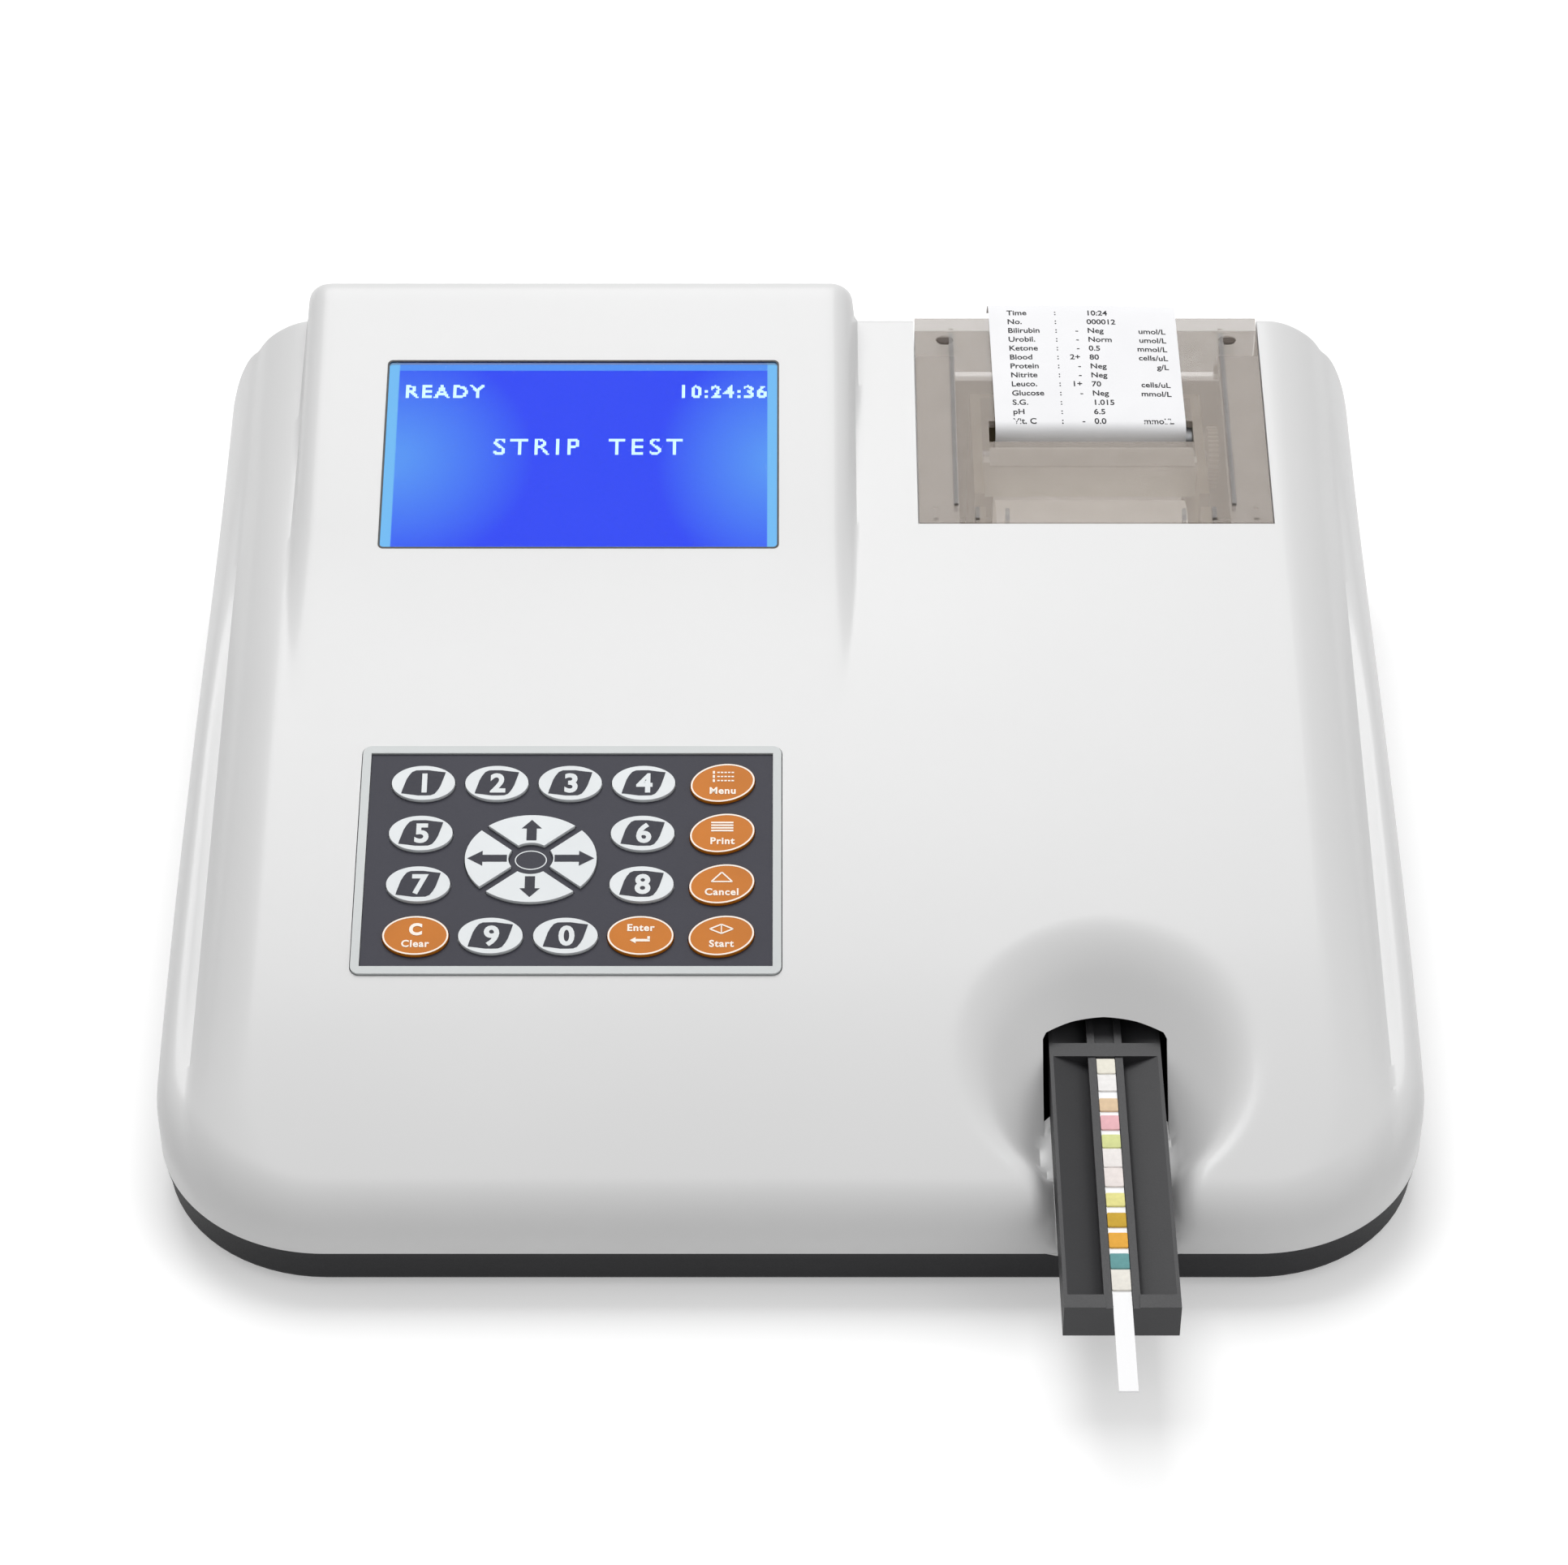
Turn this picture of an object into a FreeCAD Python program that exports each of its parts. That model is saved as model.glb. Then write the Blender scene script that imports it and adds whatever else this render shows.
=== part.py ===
import FreeCAD, Part
import math
import os

import Sketcher

# Desktop analyzer for dipstick tests, front towards -Y, right side towards +X, +Z up.
# It stands on its feet at Z 0, and the middle of its outer box is at X 0, Y 0.
# Places along Y are counted from the housing's front face, which the sheet sets.

doc = FreeCAD.newDocument("Analyzer")
sheet = doc.addObject("Spreadsheet::Sheet", "Sizes")
Vector = FreeCAD.Vector

SIZES = {
    "housing": {
        "housing_width": 345.0, "housing_depth": 313.0, "wall": 2.5, "foot_height": 3.0,
        "seam_height": 13.0, "front_corner": 48.0, "rear_corner": 12.0, "nose_round": 12.0,
        "deck_front_height": 27.5, "deck_bend": 200.0, "deck_bend_height": 76.0,
        "deck_radius": 1066.0, "deck_inset": 18.5, "deck_corner": 46.0, "deck_edge_round": 8.0,
        "flange_front_height": 27.0, "flange_rear_height": 75.5, "flange_radius": 2080.0,
        "flange_edge_round": 6.0, "groove_ridge": 5.5, "groove_depth": 2.5, "groove_start": 62.0,
        "strip_reach": 62.0, "receipt_reach": 9.0, "play": 0.3, "overrun": 2.0,
    },
    "base": {
        "base_inset": 1.5, "base_round": 2.0, "post_radius": 4.5, "screw_radius": 1.6,
        "screw_head_radius": 3.0, "screw_head_height": 2.0, "screw_length": 14.0,
        "post_side": 22.0, "post_front": 62.0, "post_rear": 24.0,
        "foot_radius": 9.0, "foot_stud_radius": 2.5, "foot_stud_height": 5.0,
        "foot_side": 34.0, "foot_front": 40.0, "foot_rear": 32.0,
    },
    "hood": {
        "hood_left": -146.0, "hood_right": 19.0, "hood_front": 184.0, "hood_front_height": 73.0,
        "hood_slope": 15.2, "hood_round": 7.0,
        "window_middle": -61.8, "window_start": 32.5, "window_width": 117.0, "window_length": 69.0,
        "window_border": 3.0, "lens_thickness": 1.5,
        "display_width": 130.0, "display_length": 84.0, "display_thickness": 8.0,
    },
    "keypad": {
        "keypad_middle": -61.5, "keypad_front": 71.0, "keypad_front_height": 50.2,
        "keypad_slope": 12.9, "keypad_width": 118.0, "keypad_length": 76.0,
        "border_width": 2.4, "border_lip": 1.6, "border_height": 3.0, "keypad_corner": 2.5,
        "overlay_thickness": 1.2, "overlay_drop": 0.6, "board_thickness": 1.6,
        "dome_radius": 3.0, "dome_height": 0.5, "key_travel": 0.5, "key_rise": 0.4,
        "key_lip": 0.8, "key_lip_height": 0.6, "key_gap": 0.25, "lip_gap": 0.2,
        "key_length": 17.7, "key_breadth": 11.6, "side_key_length": 18.2, "side_key_breadth": 12.7,
        "column_start": -41.5, "column_pitch": 20.6, "side_column": 42.5,
        "row_start": 13.2, "row_pitch": 17.0, "side_key_turn": 12.0,
        "pad_length": 36.6, "pad_breadth": 29.0, "hub_length": 12.5, "hub_breadth": 10.5,
        "pad_bar": 2.4, "pad_angle": 38.0,
    },
    "printer": {
        "printer_middle": 90.0, "cover_width": 104.0, "cover_front": 229.0, "cover_thickness": 2.5,
        "cover_gap": 0.4, "skirt_bottom": 73.5, "bay_bottom": 70.0, "ledge": 2.0,
        "hinge_back": 308.0, "hinge_height": 76.5, "hinge_radius": 3.2, "hinge_boss_radius": 4.5,
        "hinge_boss_length": 8.0, "hinge_pin_radius": 1.5, "knuckle_length": 12.0,
        "pin_play": 0.05, "slot_front": 261.5, "slot_length": 8.5, "slot_width": 61.0,
        "rib_rise": 0.6, "rib_width": 1.4, "rib_offset": 41.0, "stub_length": 7.0,
        "tear_bar_depth": 7.0, "tear_bar_thickness": 0.6, "tear_tooth": 1.5, "tear_tooth_height": 0.7,
        "paper_width": 57.0, "paper_thickness": 0.3, "roll_radius": 19.0, "core_radius": 8.0,
        "roll_back": 246.5, "roll_height": 50.0, "spindle_radius": 3.0, "spindle_play": 0.1,
        "plate_offset": 32.0, "plate_thickness": 3.0, "plate_front": 230.0, "plate_rear": 298.0,
        "plate_top": 74.5, "cradle_height": 26.0, "cradle_thickness": 2.0,
        "head_depth": 3.0, "head_bottom": 63.0, "head_top": 76.0,
        "platen_radius": 5.0, "platen_shaft_radius": 2.0, "platen_height": 71.0,
        "fine_module": 0.5, "platen_teeth": 36.0, "feed_teeth": 16.0, "feed_angle": 30.0,
        "fine_gear_width": 3.0, "feed_motor_radius": 7.5, "feed_motor_length": 17.0,
        "feed_shaft_radius": 1.0,
        "receipt_bend": 4.0, "receipt_rise": 8.5, "receipt_curl": 7.0, "receipt_start": 78.0,
        "receipt_straight": 4.6, "curl_turn": 100.0,
    },
    "dish": {
        "tray_middle": 86.0, "dish_radius": 41.0, "dish_back": 48.0, "dish_height": 47.0,
        "dish_tilt": 17.8, "dish_reach_share": 1.3, "floor_radius": 18.5, "channel_width": 34.0,
        "floor_back": 30.0, "apron_height": 20.5,
        "mouth_width": 34.0, "mouth_top": 36.5, "mouth_round": 6.0, "dish_wall": 3.0,
    },
    "tray": {
        "tray_width": 30.5, "tray_bottom": 22.0, "tray_height": 11.0, "tray_length": 160.0,
        "tray_out": 34.5, "tray_travel": 90.0, "rail_width": 9.5, "rail_drop": 0.4,
        "panel_drop": 3.6, "panel_edge": 1.0, "lip_depth": 4.5,
        "strip_width": 5.0, "strip_length": 118.0, "strip_thickness": 0.6, "strip_play": 0.2,
        "strip_bed": 0.9, "pad_height": 0.5,
        "rack_channel": 8.0, "rack_channel_depth": 4.0, "rack_width": 6.0, "rack_back": 1.6,
        "rack_end": 87.0, "drive_module": 1.0, "drive_teeth": 14.0, "drive_back": 84.0,
        "drive_width": 5.0, "drive_shaft_radius": 1.5,
        "pressure_angle": 20.0, "addendum_share": 0.8, "dedendum_share": 1.05, "tooth_play": 0.12,
        "guide_front": 73.0, "guide_rear": 222.0, "guide_wall": 3.6,
        "guide_floor": 2.2, "guide_top": 34.6, "tray_gap": 0.3,
        "drive_motor_radius": 10.5, "drive_motor_length": 24.0,
        "optics_front": 98.0, "optics_length": 30.0, "optics_height": 14.0, "optics_lens": 4.0,
        "reference_length": 8.0, "reference_back": 80.0, "stop_depth": 5.0,
    },
    "electronics": {
        "main_left": -142.0, "main_width": 120.0, "main_front": 60.0, "main_length": 150.0,
        "main_lift": 6.5, "circuit_thickness": 1.6, "standoff_radius": 3.0, "standoff_inset": 8.0,
        "supply_left": -150.0, "supply_width": 84.0, "supply_front": 222.0, "supply_length": 62.0,
        "supply_lift": 5.0, "supply_height": 26.0,
        "socket_height": 33.0, "inlet_middle": -128.0, "inlet_width": 27.4, "inlet_tall": 20.0,
        "inlet_depth": 22.0, "inlet_flange": 3.0, "inlet_bevel": 5.0,
        "rocker_middle": -96.0, "rocker_width": 12.0, "rocker_tall": 19.0, "rocker_depth": 14.0,
        "rocker_tilt": 7.0, "rocker_pin_radius": 1.0,
        "port_middle": -50.0, "port_width": 31.0, "port_tall": 12.5, "port_depth": 10.0,
        "port_shell_width": 17.0, "port_shell_tall": 8.6, "port_rise": 3.0,
    },
}

# Where the blocks on the main board lie, and how high they are, as shares of its
# width, its length and of the lift under it: from, to, from, to, height.
board_block_shares = ((0.10, 0.28, 0.12, 0.26, 0.35), (0.42, 0.62, 0.16, 0.32, 0.40),
                      (0.72, 0.94, 0.08, 0.14, 1.60), (0.14, 0.22, 0.62, 0.90, 1.40),
                      (0.44, 0.86, 0.60, 0.72, 0.55), (0.60, 0.72, 0.80, 0.90, 1.90))

# Blocks on the power supply board, as shares of its width, length and height.
supply_block_shares = ((0.06, 0.30, 0.10, 0.50, 0.90), (0.40, 0.78, 0.25, 0.80, 1.00),
                       (0.84, 0.96, 0.10, 0.90, 0.55), (0.08, 0.28, 0.62, 0.90, 0.70))

# The inlet's blades, as shares of half its width and of half its height.
inlet_blade_shares = ((-0.5, -0.2), (0.5, -0.2), (0.0, 0.3))

# Where the reagent pads start and end, as shares of the strip from its inner end.
pad_spans_share = ((0.004, 0.050), (0.056, 0.106), (0.130, 0.170), (0.184, 0.228),
                   (0.244, 0.284), (0.288, 0.344), (0.348, 0.404), (0.424, 0.464),
                   (0.484, 0.526), (0.544, 0.588), (0.606, 0.650), (0.654, 0.714))

# The cover's four short ribs, as shares of the long ribs' offset from its middle.
stub_place_shares = (-1.15, -0.85, 0.85, 1.15)

# Where the cursor pad's middle lies from the first key, as a share of a column's or
# a row's pitch, and how far from there its domes lie, as a share of the pad.
pad_place_share = 3 / 2
pad_press_share = 1 / 3

# The reading head: the bridge's height as a share of the head's, the body's length as a
# share of the bridge's, its width as a share of the tray's rail, and the lens's depth.
optics_bridge_share = 0.25
optics_body_share = 2 / 3
optics_width_share = 2.4
optics_lens_share = 0.5

# How deep the drive shaft reaches into its motor, as a share of the motor.
drive_shaft_share = 1 / 3

# Where the points of a tooth's flank lie, as shares of its height.
flank_shares = (0, 0.5, 1)

# How far an edge's direction follows an axis, as a share of its length, to be counted
# as upright, as leaning and as running from front to rear.
upright_share = 0.999
leaning_share = 0.1
running_share = 0.5


class Size:
    """A number from the sheet, kept with the expression that gives it.

    The same arithmetic so places a point and binds a property to the sheet's cells.
    """

    def __init__(self, text, value):
        self.text = text
        self.value = value

    def __add__(self, other):
        other = size(other)
        return Size(f"({self.text} + {other.text})", self.value + other.value)

    def __sub__(self, other):
        other = size(other)
        return Size(f"({self.text} - {other.text})", self.value - other.value)

    def __mul__(self, other):
        other = size(other)
        return Size(f"({self.text} * {other.text})", self.value * other.value)

    def __truediv__(self, other):
        other = size(other)
        return Size(f"({self.text} / {other.text})", self.value / other.value)

    def __radd__(self, other):
        return size(other) + self

    def __rsub__(self, other):
        return size(other) - self

    def __rmul__(self, other):
        return size(other) * self

    def __neg__(self):
        return Size(f"(0 - {self.text})", -self.value)


def size(number):
    """Any plain number as a Size."""
    if isinstance(number, Size):
        return number
    return Size(repr(float(number)), float(number))


def sine(angle):
    """The sine of an angle in degrees."""
    angle = size(angle)
    return Size(f"sin({angle.text} * 1 deg)", math.sin(math.radians(angle.value)))


def cosine(angle):
    """The cosine of an angle in degrees."""
    angle = size(angle)
    return Size(f"cos({angle.text} * 1 deg)", math.cos(math.radians(angle.value)))


class Sizes:
    """Every cell of the sheet, by its alias."""


def fill_sheet():
    """Write the driving sizes to the sheet, one section under the other."""
    named = Sizes()
    row = 1
    for section, cells in SIZES.items():
        sheet.set(f"A{row}", section)
        row += 1
        for alias, number in cells.items():
            sheet.set(f"A{row}", alias)
            sheet.set(f"B{row}", str(number))
            sheet.setAlias(f"B{row}", alias)
            setattr(named, alias, Size(f"Sizes.{alias}", number))
            row += 1
    doc.recompute()
    return named


s = fill_sheet()
nothing = size(0)
front = (s.strip_reach - s.housing_depth - s.receipt_reach) / 2
rear = front + s.housing_depth


def bind(item, bonds):
    """Bind properties of an object to sizes; a plain zero is set as it is."""
    for name, bond in bonds.items():
        if isinstance(bond, Size):
            item.setExpression(name, bond.text)


def place(item, x=0, y=0, z=0, tilt=None, axis=Vector(1, 0, 0)):
    """Put an object at a point, tilted about an axis through its own origin."""
    if tilt is not None:
        item.Placement = FreeCAD.Placement(Vector(), FreeCAD.Rotation(axis, size(tilt).value))
    bonds = {"Placement.Base.x": x, "Placement.Base.y": y, "Placement.Base.z": z}
    if isinstance(tilt, Size):
        bonds["Placement.Rotation.Angle"] = tilt
    bind(item, bonds)
    return item


def box(name, x, y, z, width, depth, height):
    """A block from its lowest corner."""
    item = doc.addObject("Part::Box", name)
    bind(item, {"Length": size(width), "Width": size(depth), "Height": size(height)})
    return place(item, x, y, z)


def cylinder(name, x, y, z, radius, length):
    """An upright cylinder from the middle of its foot."""
    item = doc.addObject("Part::Cylinder", name)
    bind(item, {"Radius": size(radius), "Height": size(length)})
    return place(item, x, y, z)


def rod(name, x, y, z, radius, length):
    """A cylinder that lies along X, from the middle of its left end."""
    item = doc.addObject("Part::Cylinder", name)
    bind(item, {"Radius": size(radius), "Height": size(length)})
    return place(item, x, y, z, 90, Vector(0, 1, 0))


def fuse(name, *items):
    """One solid out of several."""
    item = doc.addObject("Part::MultiFuse", name)
    item.Shapes = list(items)
    item.Refine = True
    return item


def group(name, *items):
    """Separate solids that share one name."""
    item = doc.addObject("Part::Compound", name)
    item.Links = list(items)
    return item


def cut(name, base, *tools):
    """A solid less its tools, one after the other."""
    for number, tool in enumerate(tools):
        last = number == len(tools) - 1
        item = doc.addObject("Part::Cut", name if last else f"{name}_cut_{number}")
        item.Base = base
        item.Tool = tool
        item.Refine = last
        base = item
    return base


def common(name, *items):
    """What several solids share."""
    item = doc.addObject("Part::MultiCommon", name)
    item.Shapes = list(items)
    return item


def round_edges(name, base, radius, chosen):
    """Round the edges of a solid that a test picks."""
    doc.recompute()
    item = doc.addObject("Part::Fillet", name)
    item.Base = base
    edges = [number + 1 for number, edge in enumerate(base.Shape.Edges) if chosen(edge)]
    item.Edges = [(number, radius.value, radius.value) for number in edges]
    return item


def upright(edge):
    """True for an edge that runs along Z."""
    along = edge.tangentAt(edge.FirstParameter)
    return abs(along.z) > upright_share and edge.Curve.TypeId == "Part::GeomLine"


def draw(body, name, plane, corners, lift):
    """A closed outline on one of the body's planes.

    A corner is (u, v), or (u, v, radius, side) where an arc leads to the next corner;
    the side is 1 where the arc turns left and -1 where it turns right.
    """
    sketch = body.newObject("Sketcher::SketchObject", name)
    origin = [feature for feature in body.Origin.OriginFeatures if feature.Role == plane][0]
    sketch.AttachmentSupport = [(origin, "")]
    sketch.MapMode = "FlatFace"
    bind(sketch, {"AttachmentOffset.Base.z": lift})
    tails = []
    heads = []
    for number, corner in enumerate(corners):
        after = corners[(number + 1) % len(corners)]
        start = Vector(size(corner[0]).value, size(corner[1]).value)
        end = Vector(size(after[0]).value, size(after[1]).value)
        if len(corner) == 2:
            sketch.addGeometry(Part.LineSegment(start, end), False)
            tails.append(1)
            heads.append(2)
            continue
        radius, side = corner[2:]
        chord = end - start
        left = Vector(-chord.y, chord.x).normalize()
        deep = math.sqrt(max(radius.value ** 2 - chord.Length ** 2 / 4, 0))
        centre = start + chord / 2 + left * deep * side
        middle = centre - left * radius.value * side
        arc = Part.Arc(start, middle, end) if side > 0 else Part.Arc(end, middle, start)
        sketch.addGeometry(arc, False)
        tails.append(1 if side > 0 else 2)
        heads.append(2 if side > 0 else 1)
        bond = sketch.addConstraint(Sketcher.Constraint("Radius", number, radius.value))
        sketch.setExpression(f"Constraints[{bond}]", radius.text)
    for number, corner in enumerate(corners):
        after = (number + 1) % len(corners)
        joint = Sketcher.Constraint("Coincident", number, heads[number], after, tails[after])
        sketch.addConstraint(joint)
        for way, axis, place_along in (("DistanceX", -2, corner[0]), ("DistanceY", -1, corner[1])):
            if not isinstance(place_along, Size):
                sketch.addConstraint(Sketcher.Constraint("PointOnObject", number, tails[number], axis))
                continue
            bond = sketch.addConstraint(
                Sketcher.Constraint(way, -1, 1, number, tails[number], place_along.value))
            sketch.setExpression(f"Constraints[{bond}]", place_along.text)
    return sketch


def prism(name, plane, corners, length, start=0, middle=False):
    """An outline drawn out along the normal of its plane, which is +X, +Y or +Z."""
    body = doc.addObject("PartDesign::Body", name)
    backwards = plane == "XZ_Plane"
    sketch = draw(body, name + "_outline", plane, corners, -size(start) if backwards else start)
    pad = body.newObject("PartDesign::Pad", name + "_pad")
    pad.Profile = sketch
    pad.Reversed = backwards
    if middle:
        pad.SideType = "Symmetric"
    bind(pad, {"Length": size(length)})
    return body


def oval(name, x, y, z, length, breadth, height, turn=None):
    """An upright oval block from the middle of its foot."""
    outline = doc.addObject("Part::Ellipse", name + "_line")
    bind(outline, {"MajorRadius": length / 2, "MinorRadius": breadth / 2})
    item = doc.addObject("Part::Extrusion", name)
    item.Base = outline
    item.Dir = Vector(0, 0, 1)
    item.DirMode = "Custom"
    item.Solid = True
    bind(item, {"LengthFwd": size(height)})
    return place(item, x, y, z, turn, Vector(0, 0, 1))


def name_part(item, name):
    """Give a finished sub-part the name that its file gets."""
    item.Label = name
    parts.append(item)
    return item


def toothed(name, points, along):
    """A solid whose teeth come from a formula, its outline drawn out along a vector."""
    item = doc.addObject("Part::Feature", name)
    item.Shape = Part.Face(Part.makePolygon(points + points[:1])).extrude(along)
    return item


parts = []


# Housing

def plan(name, inset, side, corner, height, bottom):
    """The outline of the housing seen from above, with its round corners, as a block."""
    half = s.housing_width / 2 - side
    small = s.rear_corner - inset
    corners = [(corner - half, front + inset), (half - corner, front + inset, corner, 1),
               (half, front + inset + corner), (half, rear - inset - small, small, 1),
               (half - small, rear - inset), (small - half, rear - inset, small, 1),
               (-half, rear - inset - small), (-half, front + inset + corner, corner, 1)]
    return prism(name, "XY_Plane", corners, height, bottom)


def root(number):
    """A square root."""
    return Size(f"sqrt({number.text})", math.sqrt(number.value))


def deck_level(back):
    """How high the deck is at a distance behind the front, and how steep it is there.

    It follows one long arc up to its bend, and from there runs straight on to the rear.
    """
    rise = s.deck_bend_height - s.deck_front_height
    chord = root(s.deck_bend * s.deck_bend + rise * rise)
    deep = root(s.deck_radius * s.deck_radius - chord * chord / 4)
    middle = s.deck_bend / 2 + rise / chord * deep
    bottom = (s.deck_front_height + s.deck_bend_height) / 2 - s.deck_bend / chord * deep
    steep = (middle - s.deck_bend) / (s.deck_bend_height - bottom)
    if back.value > s.deck_bend.value:
        return s.deck_bend_height + (back - s.deck_bend) * steep, steep
    run = back - middle
    high = root(s.deck_radius * s.deck_radius - run * run)
    return bottom + high, -run / high


def flange_side(name, drop, inset, bottom):
    """The side view under the flange's long arc, drawn out to both sides."""
    corners = [(front + inset, bottom), (rear - inset, bottom),
               (rear - inset, s.flange_rear_height - drop, s.flange_radius, 1),
               (front + inset, s.flange_front_height - drop)]
    return prism(name, "YZ_Plane", corners, s.housing_width, 0, True)


def deck_block(name, drop, inset, bottom, width):
    """Everything under the deck, less a drop and an inset, drawn out to both sides."""
    near = deck_level(nothing + inset)[0]
    far = deck_level(s.housing_depth - inset)[0]
    corners = [(front + inset, bottom), (rear - inset, bottom), (rear - inset, far - drop),
               (front + s.deck_bend, s.deck_bend_height - drop, s.deck_radius, 1),
               (front + inset, near - drop)]
    return prism(name, "YZ_Plane", corners, width, 0, True)


def ceiling():
    """A height that is above the whole deck."""
    return deck_level(s.housing_depth)[0] + s.overrun


def rounded_top(name, block, nose, radius):
    """Round the upper edges: the nose's radius at the front runs out to the sides' radius."""
    doc.recompute()
    item = doc.addObject("Part::Fillet", name)
    item.Base = block
    lowest = s.seam_height + s.overrun
    furthest = rear - s.rear_corner - s.wall
    near = block.Shape.BoundBox.YMin + s.play.value
    edges = []
    for number, edge in enumerate(block.Shape.Edges):
        area = edge.BoundBox
        at_bend = area.YLength < s.play.value and area.YMin > near
        if area.ZMin < lowest.value or area.YMin > furthest.value or at_bend:
            continue
        ends = (edge.valueAt(edge.FirstParameter), edge.valueAt(edge.LastParameter))
        radii = [nose.value if end.y < near else radius.value for end in ends]
        edges.append((number + 1, *radii))
    item.Edges = edges
    return item


def housing_form(name, inset, bottom, groove):
    """The housing's outer form, or its cavity where the inset is the wall."""
    drop = inset * (s.groove_depth + s.wall) / s.wall
    flange = common(
        name + "_flange", flange_side(name + "_flange_side", drop, inset, bottom),
        plan(name + "_flange_plan", inset, inset, s.front_corner - inset, ceiling(), bottom))
    deck = common(
        name + "_deck", deck_block(name + "_deck_side", inset, inset, bottom, s.housing_width),
        plan(name + "_deck_plan", inset, s.deck_inset + inset, s.deck_corner - inset, ceiling(),
             bottom))
    nose = s.nose_round - inset
    flange = rounded_top(name + "_flange_round", flange, nose, s.flange_edge_round)
    deck = rounded_top(name + "_deck_round", deck, nose, s.deck_edge_round)
    if groove:
        flange = cut(name + "_grooved", flange, groove)
    hood = hood_form(name + "_hood", inset)
    return fuse(name, flange, deck, hood)


def hood_form(name, inset):
    """The wedge that carries the display window."""
    rise = sine(s.hood_slope) / cosine(s.hood_slope)
    tall = s.hood_front_height + (s.housing_depth - s.hood_front) * rise
    low = s.hood_front_height - s.hood_round
    drop = inset / cosine(s.hood_slope)
    corners = [(front + s.hood_front, low), (rear - inset, low), (rear - inset, tall - drop),
               (front + s.hood_front, s.hood_front_height - drop)]
    body = prism(name + "_side", "YZ_Plane", corners,
                 s.hood_right - s.hood_left - inset * 2, s.hood_left + inset)
    radius = s.hood_round - inset

    def sloping(edge):
        along = edge.tangentAt(edge.FirstParameter)
        return abs(along.z) > leaning_share and abs(along.y) > running_share

    return round_edges(name, body, radius, sloping)


def side_groove():
    """The hollow between the outer ridge and the deck, on both sides."""
    bottom = s.seam_height
    low = flange_side("groove_low", s.groove_depth, nothing, bottom)
    half = s.housing_width / 2 - s.groove_ridge
    reach = s.deck_inset - s.groove_ridge
    deep = s.housing_depth - s.groove_start + s.overrun
    left = box("groove_left", -half, front + s.groove_start, bottom, reach, deep, ceiling())
    right = box("groove_right", half - reach, front + s.groove_start, bottom, reach, deep,
                ceiling())
    return cut("groove", group("groove_sides", left, right), low)


def dish(name, extra):
    """The round hollow in front of the tray's mouth, or its wall where there is an extra."""
    floor = doc.addObject("Part::Circle", name + "_floor")
    bind(floor, {"Radius": s.floor_radius + extra})
    place(floor, s.tray_middle, front + s.floor_back, s.apron_height - extra)
    brim = doc.addObject("Part::Circle", name + "_brim")
    reach = s.dish_reach_share
    bind(brim, {"Radius": s.floor_radius + (s.dish_radius - s.floor_radius) * reach + extra})
    place(brim, s.tray_middle, front + s.floor_back + (s.dish_back - s.floor_back) * reach,
          s.apron_height + (s.dish_height - s.apron_height) * reach, s.dish_tilt)
    bowl = doc.addObject("Part::Loft", name + "_bowl")
    bowl.Sections = [floor, brim]
    bowl.Solid = True
    bowl.Ruled = True
    half = s.channel_width / 2 + extra
    channel = box(name + "_channel", s.tray_middle - half, front - s.overrun,
                  s.apron_height - extra, half * 2, s.floor_back + s.overrun, s.dish_height)
    return bowl, channel


def mouth():
    """The opening that the tray runs through."""
    low = s.apron_height + s.play
    block = box("mouth_block", s.tray_middle - s.mouth_width / 2, front + s.floor_back, low,
                s.mouth_width, s.guide_front - s.floor_back, s.mouth_top - low)

    def upper(edge):
        return edge.BoundBox.ZMin > s.tray_bottom.value and edge.BoundBox.YLength > s.wall.value

    return round_edges("mouth", block, s.mouth_round, upper)


def on_keypad(item):
    """Lay an object on the keypad's slope, with its own origin at the lower edge's middle."""
    return place(item, s.keypad_middle, front + s.keypad_front, s.keypad_front_height, s.keypad_slope)


def on_hood(item):
    """Lay an object on the hood's slope, with its own origin at the foot of the slope."""
    return place(item, s.window_middle, front + s.hood_front, s.hood_front_height, s.hood_slope)


def frame_block(name, width, length, margin, top, thickness, start=0):
    """A plate in the middle of a slope's own X, cut in from the slope's edge by a margin."""
    return box(name, margin - width / 2, start + margin, top - thickness,
               width - margin * 2, length - margin * 2, thickness)


def keypad_well():
    """The tub under the keypad and the pocket in it."""
    margin = s.play
    deep = s.border_height + s.overlay_thickness * 2
    floor = s.wall
    well = frame_block("keypad_well", s.keypad_width, s.keypad_length, -floor,
                       -s.overlay_drop, deep + floor - s.overlay_drop)
    recess = frame_block("keypad_recess", s.keypad_width, s.keypad_length, -margin,
                         s.deck_edge_round, s.border_height + s.deck_edge_round)
    pocket = frame_block("keypad_pocket", s.keypad_width, s.keypad_length, s.border_lip,
                         s.deck_edge_round, deep + s.deck_edge_round)
    return on_keypad(group("well_block", well)), on_keypad(fuse("well_pocket", recess, pocket))


def window_opening():
    """The hole for the display and the seat of its lens."""
    seat = frame_block("lens_seat", s.window_width, s.window_length, 0, s.hood_round,
                       s.lens_thickness + s.hood_round, s.window_start)
    hole = frame_block("lens_hole", s.window_width, s.window_length, s.window_border,
                       s.hood_round, s.hood_round * 2, s.window_start)
    return on_hood(fuse("window_opening", seat, hole))


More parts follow.
